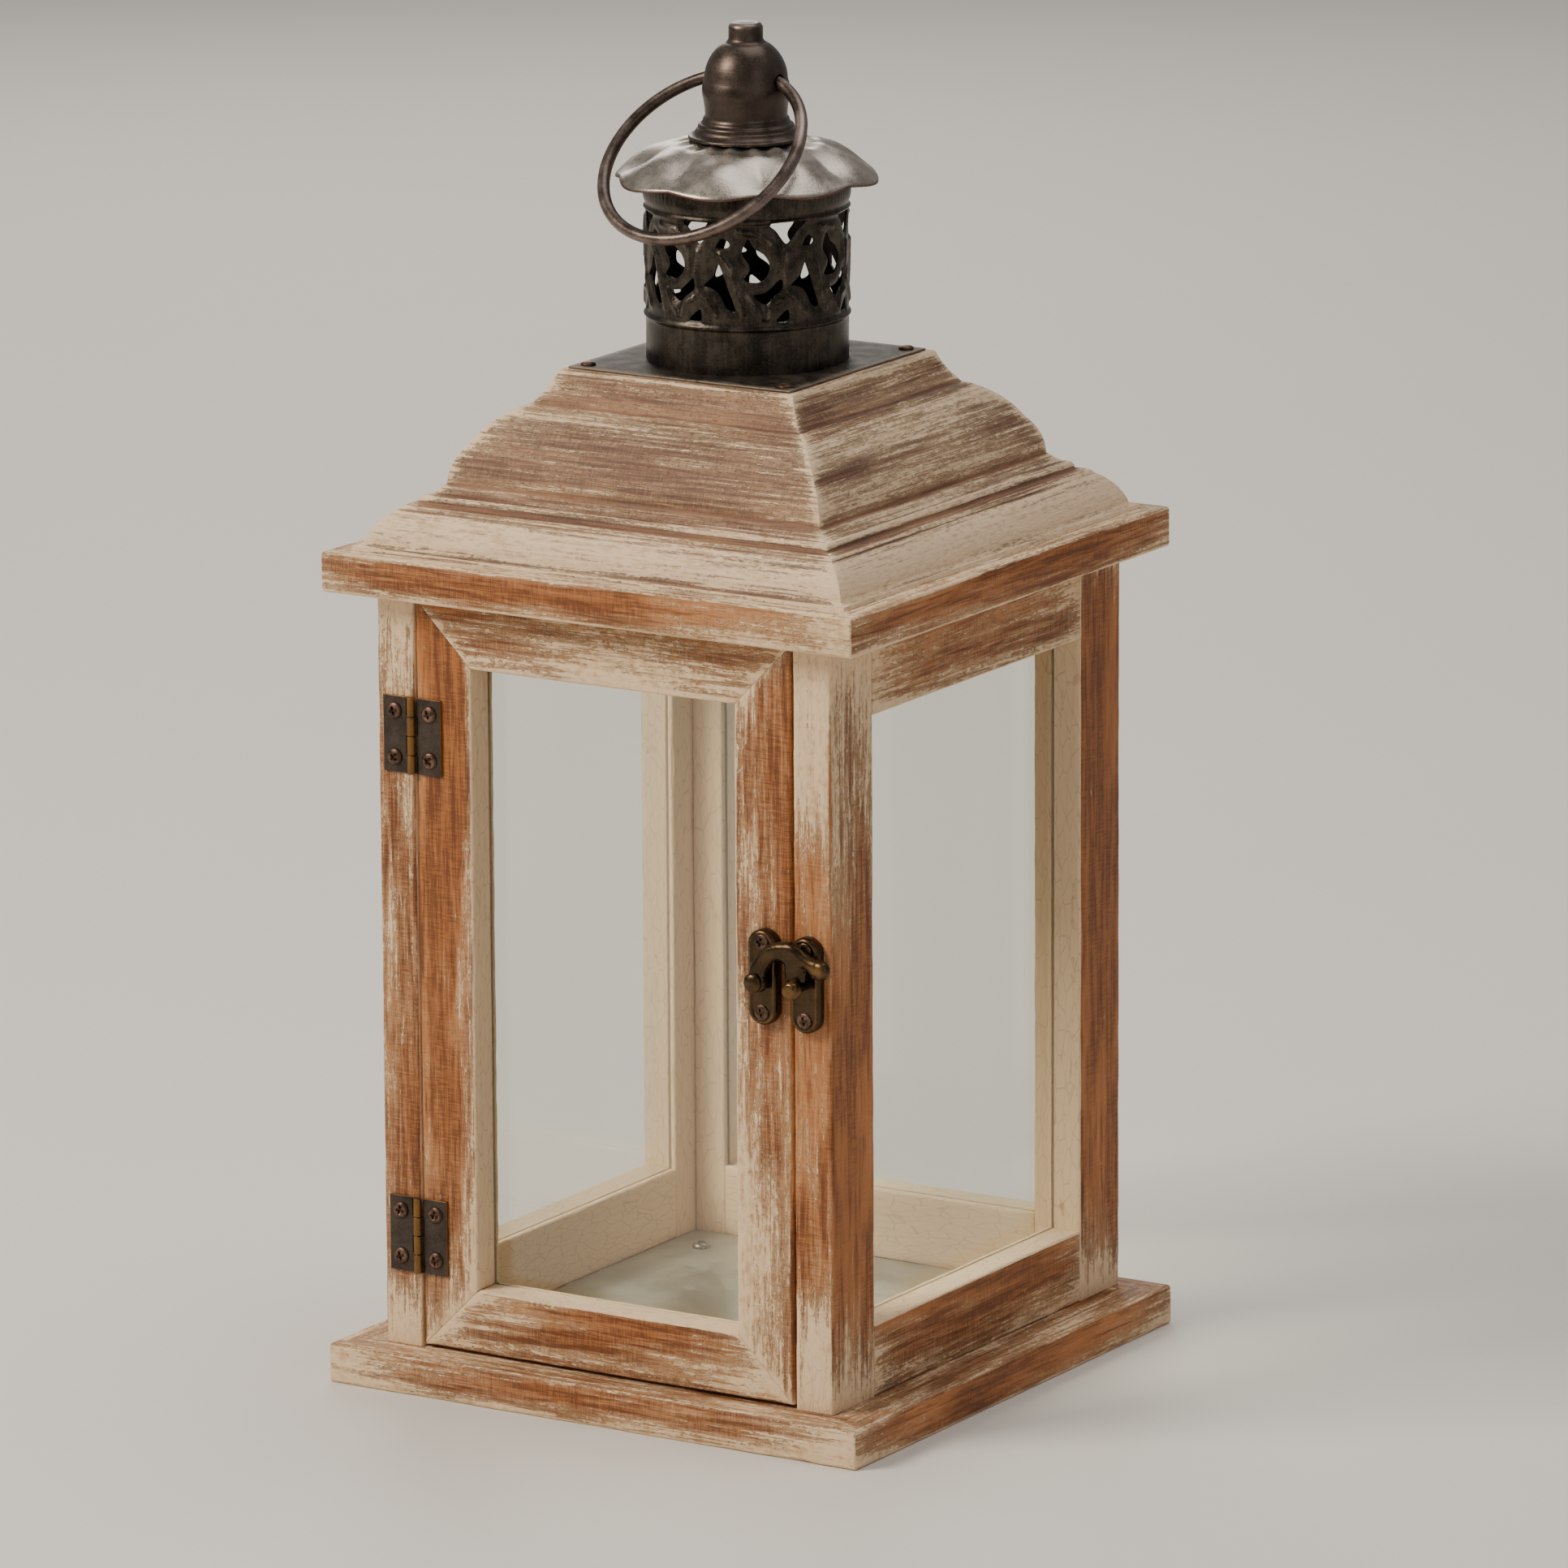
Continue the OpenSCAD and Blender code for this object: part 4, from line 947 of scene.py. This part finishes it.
def add_drum():
    low, high = cad_box("chimney_drum")
    cap_top = cad_box("chimney_cap")[1][2]
    columns = round(PERIOD / CELL)
    total = columns * REPEATS
    around = np.arange(columns) * PERIOD / columns
    rows = np.concatenate((np.array((0, 0.5, 4, 8, 12)), np.arange(13.4, 53.0, CELL),
                           np.array((54, 57, 60, 62.5, 65.5))))
    u, h = np.meshgrid(around, rows, indexing="ij")
    open_by, vein = screen_fields(u - DRUM_R * VIEW_AZIMUTH, h - BAND_TOP - 0.6)
    open_by, vein = np.tile(open_by, (REPEATS, 1)) + SCREEN_SHRINK, np.tile(vein, (REPEATS, 1))
    in_screen = (rows > BAND_TOP) & (rows < SCREEN_TOP - 1)
    body = np.clip(open_by / 1.9, 0, 1)
    lift = np.where(in_screen, 0.5 * body * (2 - body) + 0.75 * np.exp(-(vein / 1.0) ** 2), 0)
    plain = np.array([drum_radius(z, s) for z, s in zip(rows, in_screen)])
    turns = np.arange(total) * math.tau / total
    flute = np.where(rows > SCREEN_TOP + 3, 0.14, 0.0)[None, :] * np.cos(turns * total / 4)[:, None]
    outer = plain[None, :] + lift + flute
    worn = 0.35 * lift + 0.4 * (plain > DRUM_R + 0.3)[None, :] * (rows < SCREEN_TOP)[None, :]
    crowns = np.array([drum_crown(t, cap_top) for t in turns]) - low[2]
    squash = SCREEN_TOP + 3

    def grid(values, i, j):
        """A value between grid points, the first direction closing on itself."""
        a, b = int(math.floor(i)), int(math.floor(j))
        s, t = i - a, j - b
        c, d = (a + 1) % total, min(b + 1, values.shape[1] - 1)
        a %= total
        return (values[a, b] * (1 - s) + values[c, b] * s) * (1 - t) + (values[a, d] * (1 - s)
                                                                        + values[c, d] * s) * t

    heights = np.repeat(rows[None, :], total, 0)
    scale = (np.minimum(crowns, rows[-1]) - squash) / (rows[-1] - squash)
    heights = np.where(heights > squash, squash + (heights - squash) * scale[:, None], heights)
    wear = []

    def place(i, j, side):
        turn = i * math.tau / total
        r = grid(outer, i, j) if side else DRUM_R - DRUM_SHEET
        wear.append(grid(worn, i, j) if side else 0.0)
        return r * math.sin(turn), -r * math.cos(turn), low[2] + grid(heights, i, j)

    verts, faces, index = sheet_mesh(np.where(in_screen[None, :], open_by, 9.0), place, False, loop=True)
    for j in (0, len(rows) - 1):
        for i in range(total):
            p, q = (i, j, i, j), ((i + 1) % total, j, (i + 1) % total, j)
            faces.append([index[p + (1,)], index[q + (1,)], index[q + (0,)], index[p + (0,)]])
    make("chimney_drum_pierced", verts, faces, "chimney_metal", "lantern", ["chimney_drum"], smooth=60,
         point=[("wear", wear)])


def cap_wave(turn):
    """1 on a lobe and -1 in a crease: rounded on the lobes and sharp in the creases."""
    phase = CAP_LOBES * (turn - CAP_TURN)
    return 0.4 * math.cos(phase) + 0.6 * (2 * abs(math.cos(phase / 2)) - 1)


def cap_height(r, wave, ripple):
    """The cap's top surface, below its middle, at radius r. wave is 1 on a lobe and -1 in a crease."""
    points = np.array([(0, 0), (17.5, -0.2), (20, -0.5), (25, -1.7), (31, -4.5), (38, -8.3), (41, -10.2),
                       (44, -12.4)])
    base = np.interp(r, points[:, 0], points[:, 1])
    pillow = 1.5 * math.exp(-((r - 34) / 6.5) ** 2) - 0.9 * max(0.0, (r - 38) / 5.5) ** 1.5
    flute = 0.55 * math.exp(-((r - 19.5) / 4.5) ** 2)
    return base + pillow * wave + flute * (ripple - 1)


def add_cap():
    low, high = cad_box("chimney_cap")
    segments = 256
    radii = np.concatenate(([2.1, 8, 14], np.arange(16.5, 43, 1.0), [43, 43.4]))
    verts, faces, wear = [], [], []
    for layer in (0, 1):
        for n, r in enumerate(radii):
            for i in range(segments):
                turn = i * math.tau / segments
                wave = cap_wave(turn)
                ripple = math.cos(2 * CAP_LOBES * (turn - CAP_TURN))
                reach = r * (1 + (0.021 * (wave - 1)) * (r / 43.4) ** 3)
                droop = -0.35 if n == len(radii) - 1 and not layer else 0
                z = high[2] + cap_height(r, wave, ripple) - CAP_SHEET * layer + droop
                verts.append((reach * math.sin(turn), -reach * math.cos(turn), z))
                wear.append(0.7 if r > 43.2 else 0.0)
    count = len(radii)
    for layer in (0, 1):
        for n in range(count - 1):
            for i in range(segments):
                a, b = (layer * count + n) * segments, (layer * count + n + 1) * segments
                faces.append([a + i, a + (i + 1) % segments, b + (i + 1) % segments, b + i])
    for n in (0, count - 1):
        a, b = n * segments, (count + n) * segments
        faces += [[a + i, a + (i + 1) % segments, b + (i + 1) % segments, b + i] for i in range(segments)]
    make("chimney_cap_fluted", verts, faces, "cap_metal", "lantern", ["chimney_cap"], smooth=60,
         point=[("wear", wear)])


PLATE_HOLE_R = 25


def add_plate():
    low, high = cad_box("chimney_plate")
    verts, faces = rounded_box(low, high, 0.35, 4.0, 2)
    verts[:, 2] += 0.12 * lumps(verts * (1, 1, 0), 3, 30)
    edge = np.minimum(np.minimum(verts[:, 0] - low[0], high[0] - verts[:, 0]),
                      np.minimum(verts[:, 1] - low[1], high[1] - verts[:, 1]))
    piece = make("chimney_plate_sheet", verts, faces, "chimney_metal", "lantern", ["chimney_plate"],
                 point=[("wear", np.where(edge < 0.5, 0.75, 0.2)), ("dull", np.ones(len(verts)))])
    cut(piece, *lathe([(PLATE_HOLE_R, low[2] - 3), (PLATE_HOLE_R, high[2] + 3), (0, high[2] + 3),
                       (0, low[2] - 3)], closed=False))
    piece.data.set_sharp_from_angle(angle=math.radians(40))


# ---- Screws, nails and pins ----


def dome(radius, height, lip, below):
    """Profile of a domed head that stands on z = 0, with its shank's stub below."""
    arc = [(radius * math.cos(t), lip + (height - lip) * math.sin(t)) for t in np.linspace(0, math.pi / 2,
                                                                                           8)[:-1]]
    return [(0, -below), (radius * 0.5, -below), (radius * 0.5, 0), (radius, 0)] + arc + [(0, height)]


def cross_cutter(radius, top, depth):
    """A Phillips recess: two tapered blades, crossed."""
    shapes = []
    for turn in (0, 90):
        w, t = radius * 0.64, radius * 0.19
        verts = [(-w, -t, top), (w, -t, top), (w, t, top), (-w, t, top),
                 (-w * 0.35, -t * 0.7, top - depth), (w * 0.35, -t * 0.7, top - depth),
                 (w * 0.35, t * 0.7, top - depth), (-w * 0.35, t * 0.7, top - depth)]
        faces = [(0, 1, 2, 3), (7, 6, 5, 4), (0, 4, 5, 1), (1, 5, 6, 2), (2, 6, 7, 3), (3, 7, 4, 0)]
        shapes.append(placed((np.array(verts), faces), turned(turn)))
    return shapes


def screw_shape(profile, radius, top, depth):
    """A screw's head with a Phillips recess, as (verts, faces) in millimetres."""
    head = scrap("screw", *lathe(profile, 40, closed=False))
    for blade in cross_cutter(radius, top, depth):
        cut(head, *blade)
    verts = np.array([v.co for v in head.data.vertices]) / MM
    faces = [list(p.vertices) for p in head.data.polygons]
    mesh = head.data
    bpy.data.objects.remove(head)
    bpy.data.meshes.remove(mesh)
    return verts, faces


def facing(direction):
    """A rotation that takes +Z to this direction."""
    return np.array(Vector(direction).to_track_quat("Z", "Y").to_matrix())


def add_heads(name, node, body, slot, shape, places, direction, seats):
    """Screws of one kind, at each (across, up) place, facing a direction."""
    shapes = []
    for n, place in enumerate(places):
        spin = turned(17 + 61 * n)
        shapes.append(placed(placed(shape, spin), facing(direction), place))
    verts, faces = join_shapes(shapes)
    piece = make(name, verts, faces, slot, body, [node], smooth=35)
    write_wear(piece, seats)
    return piece


# ---- Finial and ring ----

# The bell's turned outline: radius, height and bulge
BELL_OUTLINE = [
    (2.1, 0, 0), (18.6, 0, 0.3), (18.6, 1.1, -0.35), (16.2, 3.2, 0), (15.7, 3.5, 0.25), (15.1, 4.9, -0.15),
    (14.2, 5.9, 0.15), (13.4, 7.4, -0.15), (14, 13.2, 0.5), (13.6, 19.4, 1.6), (7.4, 31, -0.3),
                (5.6, 32.6, 0),
    (5.6, 35.6, 0.8), (3.4, 37.8, 0.15), (0, 38.12, 0), (0, 30, 0), (5, 29.4, -1.2), (12.4, 19, -0.3),
                (12.4, 12, 0),
    (11.4, 8, 0), (5, 2.5, 0), (5, 9.5, 0), (2.1, 9.5, 0)]
RING_HOLE_R = 2.8


def add_finial():
    low, high = cad_box("finial_bell")
    base = low[2]
    profile = outline(BELL_OUTLINE, 8)
    shape = placed(lathe(profile, 128), at=(0, 0, base))
    piece = make("finial_bell_turned", *shape, "finial_metal", "lantern", ["finial_bell"], smooth=35)
    pivot, axis = ring_pivot()
    hole = placed(lathe([(0, -30), (RING_HOLE_R, -30), (RING_HOLE_R, 30), (0, 30)], 48, closed=False),
                  facing(axis), pivot)
    cut(piece, *hole)
    piece.data.set_sharp_from_angle(angle=math.radians(35))

    def rubbed(p):
        across = math.hypot(p.x, p.y)
        up = p.z - base
        rim = math.exp(-((across - 18.6) / 0.7) ** 2) * (up < 2)
        return 0.5 * rim + 0.6 * math.exp(-((up - 37.0) / 1.6) ** 2) + 0.35 * math.exp(-((up - 4.4)
                                                                                         / 0.8) ** 2)

    write_wear(piece, rubbed)


def ring_pivot():
    """The ring's turning point, in millimetres, and the direction of its axis."""
    joint = next(j for j in frame["joints"] if j["name"] == "ring_swing")
    return np.array(joint["pos_m"]) / MM, np.array(joint["axis"], float)


WIRE_R = 2.1
RING_R = 34.85


def add_ring():
    low, high = cad_box("hanging_ring")
    middle = (low + high) / 2
    pivot, axis = ring_pivot()
    down = middle - pivot
    down = down - axis * (down @ axis)
    down /= np.linalg.norm(down)
    across = np.cross(axis, down)
    around, section = 220, 20
    weld = math.radians(205)
    verts, wear = [], []
    for i in range(around):
        turn = i * math.tau / around
        out = axis * math.cos(turn) + down * math.sin(turn)
        gap = math.remainder(turn - weld, math.tau) * RING_R
        r = WIRE_R - 0.05 + 0.04 * noise.noise(Vector((turn * 6, 0,
                                                       5))) - 0.12 * math.exp(-(gap / 0.5) ** 2)
        for k in range(section):
            c, s = unit(k * math.tau / section)
            verts.append(middle + out * (RING_R + r * c) + across * r * s)
            wear.append(0.5 * math.exp(-(gap / 5) ** 2) + 0.45 + 0.2 * max(0, c))
    faces = [[i * section + k, i * section + (k + 1) % section,
              (i + 1) % around * section + (k + 1) % section,
              (i + 1) % around * section + k] for i in range(around) for k in range(section)]
    make("hanging_ring_wire", verts, faces, "finial_metal", "ring", ["hanging_ring"], smooth=60,
         point=[("wear", wear)])


# ---- Hinges ----

KNUCKLE_R = 1.4
KNUCKLES = 4
LEAF_T = 1.0
HINGE_SCREW_R = 2.8
HINGE_SCREW_H = 1.2
PIN_R = 0.8
HINGE_SCREW_Z = 7.7


def add_hinges():
    pivot = np.array(next(j for j in frame["joints"] if j["name"] == "door_swing")["pos_m"]) / MM
    screw = screw_shape(dome(HINGE_SCREW_R, HINGE_SCREW_H, 0.3, 3), HINGE_SCREW_R, HINGE_SCREW_H, 1.0)
    wood = cad_box("left_stile_front")[0][1]
    for level in ("low", "high"):
        low, high = cad_box(f"hinge_{level}_pin")
        height = high[2] - low[2]
        for side, owner, body, first in ((-1, "frame", "lantern", 1), (1, "door", "door", 0)):
            node = f"hinge_{level}_{owner}_leaf"
            box_low, box_high = cad_box(node)
            outer_x = box_low[0] if side < 0 else box_high[0]
            near = pivot[0] + side * (KNUCKLE_R + 0.3)
            left, right = sorted((outer_x, near))
            shapes = [rounded_box((left, wood - LEAF_T, low[2]), (right, wood, high[2]), 0.25, 3, 2)]
            step = height / KNUCKLES
            for k in range(first, KNUCKLES, 2):
                z0, z1 = low[2] + k * step + 0.075, low[2] + (k + 1) * step - 0.075
                tube = [(0.86, z0), (KNUCKLE_R - 0.2, z0), (KNUCKLE_R, z0 + 0.2), (KNUCKLE_R, z1 - 0.2),
                        (KNUCKLE_R - 0.2, z1), (0.86, z1)]
                shapes.append(placed(lathe(tube, 40), at=(pivot[0], pivot[1], 0)))
                web = sorted((pivot[0] + side * 0.9, pivot[0] + side * 2.3))
                shapes.append(cuboid((web[0], wood - LEAF_T, z0), (web[1], wood - 0.01, z1)))
            verts, faces = join_shapes(shapes)
            piece = make(node + "_plate", verts, faces, "hinge_metal", body, [node], smooth=30)

            def rubbed(p, right=right, top=high[2]):
                on_barrel = math.hypot(p.x - pivot[0], p.y - pivot[1]) < KNUCKLE_R + 0.05
                edge = min(abs(p.x - right), abs(p.z - top))
                return 0.7 if on_barrel else 0.8 * math.exp(-(edge / 0.2) ** 2)

            write_wear(piece, rubbed)
        pin = lathe([(0, low[2]), (PIN_R - 0.2, low[2]), (PIN_R, low[2] + 0.2), (PIN_R, high[2] - 0.2),
                     (PIN_R - 0.2, high[2]),
                     (0, high[2])], 24, closed=False)
        make(f"hinge_{level}_pin_wire", *placed(pin, at=(pivot[0], pivot[1], 0)), "hinge_brass", "lantern",
             [f"hinge_{level}_pin"])
    levels = [sum(v[2] for v in cad_box(f"hinge_{level}_pin")) / 2 for level in ("low", "high")]
    for side, owner, body in ((-1, "frame", "lantern"), (1, "door", "door")):
        across = sum(v[0] for v in cad_box(f"hinge_screws_{owner}")) / 2
        places = [(across, wood - LEAF_T, z + up * HINGE_SCREW_Z) for z in levels for up in (-1, 1)]
        add_heads(f"hinge_screws_{owner}_heads", f"hinge_screws_{owner}", body, "screw_brown", screw,
                  places, -Y,
                  lambda p: 0.5 if p.y < wood - LEAF_T - 0.7 * HINGE_SCREW_H else 0.0)


# ---- Latch ----


def obround(half_w, half_l, count=16):
    """A loop of (across, up) points round a plate with round ends."""
    straight = half_l - half_w
    loop = []
    for end, first in ((1, 0), (-1, 180)):
        for k in range(count + 1):
            c, s = unit(math.radians(first + 180 * k / count))
            loop.append((half_w * c, end * straight + half_w * s))
    return loop


def plate_shape(width, length, thick):
    """A thick plate with rounded edges and a slightly sunk face."""
    steps = ((0.25, 0), (0, 0.3), (0, thick - 1.5), (0.1, thick - 0.9), (0.4, thick - 0.38),
             (0.85, thick - 0.08),
             (1.3, thick), (1.75, thick - 0.1), (2.1, thick - 0.3), (2.5, thick - 0.36),
             (3.6, thick - 0.36))
    loops = [[(x, z, y) for x, z in obround(width / 2 - inset, length / 2 - inset)] for inset, y in steps]
    n = len(loops[0])
    verts = [p for loop in loops for p in loop]
    faces = [[k * n + i, k * n + (i + 1) % n, (k + 1) * n + (i + 1) % n, (k + 1) * n + i]
             for k in range(len(loops) - 1) for i in range(n)]
    faces += [list(range(n)), list(range((len(loops) - 1) * n, len(loops) * n))]
    return np.array(verts), faces


PLATE_T = 4.0
HOOK_BACK = 4.1
HOOK_T = 4.6


def on_front(shape, x, z, front):
    """Stands a latch shape, drawn as (across, up, out), on the lantern's front."""
    verts = np.asarray(shape[0])
    return np.column_stack((verts[:, 0] + x, front - verts[:, 2], verts[:, 1] + z)), shape[1]


HOOK_CELL = 0.35
HOOK_ROUND = 2.3
TOOTH_X = 13.9
HOOK_OUTLINE = [
    (-3.2, 0.4, -0.9), (0.6, 9, -1.3), (10, 14.2, -1), (17.2, 12.4, 0.5), (23.4, 9.8, 0), (26, 4.3, 0),
    (21, 3.3, 0.3), (18.6, 6.2, 0), (18, 1.7, 0), (TOOTH_X, 1.7, 0), (TOOTH_X, -0.4, -0.6),
                (TOOTH_X - 2.9, -0.4, 0),
    (TOOTH_X - 3.1, 6.8, 0.9), (6.2, 7, 0.6), (3.2, 1.2, 0), (2.8, -1.4, 0), (-2.6, -1.9, 0)]
EYE_R = 3.8
KNOB_R = 3.2
KNOB_AT = (24.0, 6.5)
HORN_OUTLINE = [
    (0, 1.5, 0), (1.6, 1.5, 0), (1.6, 9.2, 0), (2.8, 9.9, 0.2), (3.1, 11.5, 0.3), (2.1, 13.35, 0.1),
                (0, 13.44, 0)]
RIVET_HEAD_R = 3.2
RIVET_HEAD_H = 2.0
LATCH_SCREW_R = 2.6
LATCH_SCREW_H = 0.7
HORN_REACH = 16.0


def add_latch():
    front = cad_box("left_stile_front")[0][1]
    screw = screw_shape(dome(LATCH_SCREW_R, LATCH_SCREW_H, 0.25, 1.5), LATCH_SCREW_R, LATCH_SCREW_H, 1.1)
    pivot = np.array(next(j for j in frame["joints"] if j["name"] == "latch_swing")["pos_m"]) / MM
    rivet_x, rivet_z = pivot[0], pivot[2]
    for node, screws, body, spindle in (("latch_plate", "latch_screws_door", "door", 0),
                                        ("latch_keeper", "latch_screws_frame", "lantern", HORN_REACH)):
        low, high = cad_box(node)
        x, z = (low[0] + high[0]) / 2, (low[2] + high[2]) / 2
        width, length = high[0] - low[0], high[2] - low[2]
        shapes = [on_front(plate_shape(width, length, PLATE_T), x, z, front)]
        if spindle:
            shapes.append(on_front(lathe(outline(HORN_OUTLINE, 8), 48, closed=False), rivet_x + spindle,
                                   rivet_z, front))
        verts, faces = join_shapes(shapes)
        piece = make(node + "_cast", verts, faces, "latch_brass", body, [node], smooth=40)

        def rubbed(p, x=x, z=z, straight=(length - width) / 2, half=width / 2):
            inset = half - math.hypot(p.x - x, max(0.0, abs(p.z - z) - straight))
            on_rim = math.exp(-((inset - 1.0) / 0.6) ** 2) * (p.y < front - PLATE_T + 0.7)
            return max(0.62 * on_rim, 0.6 if p.y < front - 9.5 else 0.1)

        write_wear(piece, rubbed)
        places = [(x, front - PLATE_T + 0.35, z + up * (length / 2 - 4.2)) for up in (-1, 1)]
        add_heads(screws + "_heads", screws, body, "screw_brown", screw, places, -Y, lambda p: 0.5)
    seat = HOOK_BACK + HOOK_T + 0.05
    cap = [(RIVET_HEAD_R * math.cos(t), seat + 0.5 + (RIVET_HEAD_H - 0.5) * math.sin(t))
           for t in np.linspace(0, math.pi / 2, 9)[:-1]]
    rivet = [(0, 1), (1.5, 1), (1.5, seat), (RIVET_HEAD_R, seat)] + cap + [(0, seat + RIVET_HEAD_H)]
    piece = make("latch_rivet_dome", *on_front(lathe(rivet, 48, closed=False), rivet_x, rivet_z, front),
                 "latch_brass", "door", ["latch_rivet"])
    write_wear(piece, lambda p: 0.42)
    add_hook(front, rivet_x, rivet_z)


def add_hook(front, x, z):
    """The hook: a rounded sheet with an eye, an arched arm, a tooth by the horn's stem and a thumb knob."""
    path = outline(HOOK_OUTLINE, 6)
    low, high = path.min(0) - 1.2, path.max(0) + 1.4
    columns, rows = (np.ceil((high - low) / HOOK_CELL).astype(int) + 1)
    places = low + HOOK_CELL * np.stack(np.meshgrid(np.arange(columns), np.arange(rows), indexing="ij"),
                                        -1).reshape(-1, 2)
    far = line_distance(places, path, True)
    field = np.where(inside_loop(places, path), far, -far)
    field = np.maximum(field, EYE_R - np.linalg.norm(places, axis=1))
    field = np.maximum(field, KNOB_R - np.linalg.norm(places - KNOB_AT, axis=1)).reshape(columns, rows)
    swell = HOOK_T / 2 * np.sqrt(np.clip(1 - (1 - np.clip(field / HOOK_ROUND, 0, 1)) ** 2, 0, 1))

    def place(i, j, side):
        a, b = min(int(i), columns - 2), min(int(j), rows - 2)
        s, t = i - a, j - b
        edge = s > 0 and abs(s - 1) > 1e-9 or t > 0 and abs(t - 1) > 1e-9
        half = 0.0 if edge else swell[int(round(i)), int(round(j))]
        across, up = low + HOOK_CELL * np.array((i, j))
        return x + across, front - HOOK_BACK - HOOK_T / 2 - (half if side else -half), z + up

    verts, faces, _ = sheet_mesh(field, place, True)
    piece = make("latch_hook_cast", verts, faces, "latch_brass", "latch_arm", ["latch_hook"], smooth=180)
    cut(piece, *on_front(lathe([(0, 0), (1.6, 0), (1.6, 9), (0, 9)], 32, closed=False), x, z, front))
    piece.data.set_sharp_from_angle(angle=math.radians(60))

    def rubbed(p):
        """Palest on the knob and along the arm's front."""
        knob = math.exp(-(math.hypot(p.x - x - KNOB_AT[0], p.z - z - KNOB_AT[1]) / 3.2) ** 2)
        return 0.15 + 0.3 * knob + 0.2 * max(0.0, (front - p.y - HOOK_BACK - 0.6 * HOOK_T) / (0.4 * HOOK_T))

    write_wear(piece, rubbed)


# ---- Small pieces ----

NAIL_R = 2.5
FLOOR_SCREW_R = 3.1


def add_nails():
    low, high = cad_box("chimney_nails")
    seat = cad_box("chimney_plate")[1][2]
    head = lathe(dome(NAIL_R, high[2] - seat, 0.3, 3), 32, closed=False)
    middle = high[0] - NAIL_R
    shapes = [placed(head, at=(sx * middle, sy * middle, seat)) for sx in (-1, 1) for sy in (-1, 1)]
    piece = make("chimney_nails_heads", *join_shapes(shapes), "nail_brown", "lantern", ["chimney_nails"])
    write_wear(piece, lambda p: 0.5 if p.z > seat + 0.9 else 0.1)


def add_floor_screws():
    low, high = cad_box("floor_screws")
    seat = cad_box("floor_plate")[1][2]
    radius = FLOOR_SCREW_R
    shape = screw_shape(dome(radius, high[2] - seat, 0.5, 4), radius, high[2] - seat + 0.1, 1.5)
    places = [(x, y, seat) for x in (low[0] + radius, high[0] - radius) for y in (low[1] + radius,
                                                                                  high[1] - radius)]
    add_heads("floor_screws_heads", "floor_screws", "lantern", "zinc_screw", shape, places, Z,
              lambda p: 0.4)


def finish_cad_nodes():
    """Every CAD node that stays gets its slot's material."""
    slots = {row["node"]: row["material_slot"] for row in frame["record"]["subparts"]}
    for name, node in frame["nodes"].items():
        node.data.materials.clear()
        node.data.materials.append(MATERIALS[slots[name]])


add_camera()
add_stage()
finish_cad_nodes()
add_frames()
# right lowers the level on each board's right side, as painted shade away from the key light.
board("base_board", "wood_base", 3, 1.2, (0.4, 1.0, 0.6), right=-0.3)
board("eave_board", "wood_eave", 5, 1.2, (0.3, 0.6, 0.75), right=-0.1, hole=60)
add_roof()
add_drum()
add_cap()
add_plate()
add_nails()
add_finial()
add_ring()
add_hinges()
add_latch()
add_floor_screws()
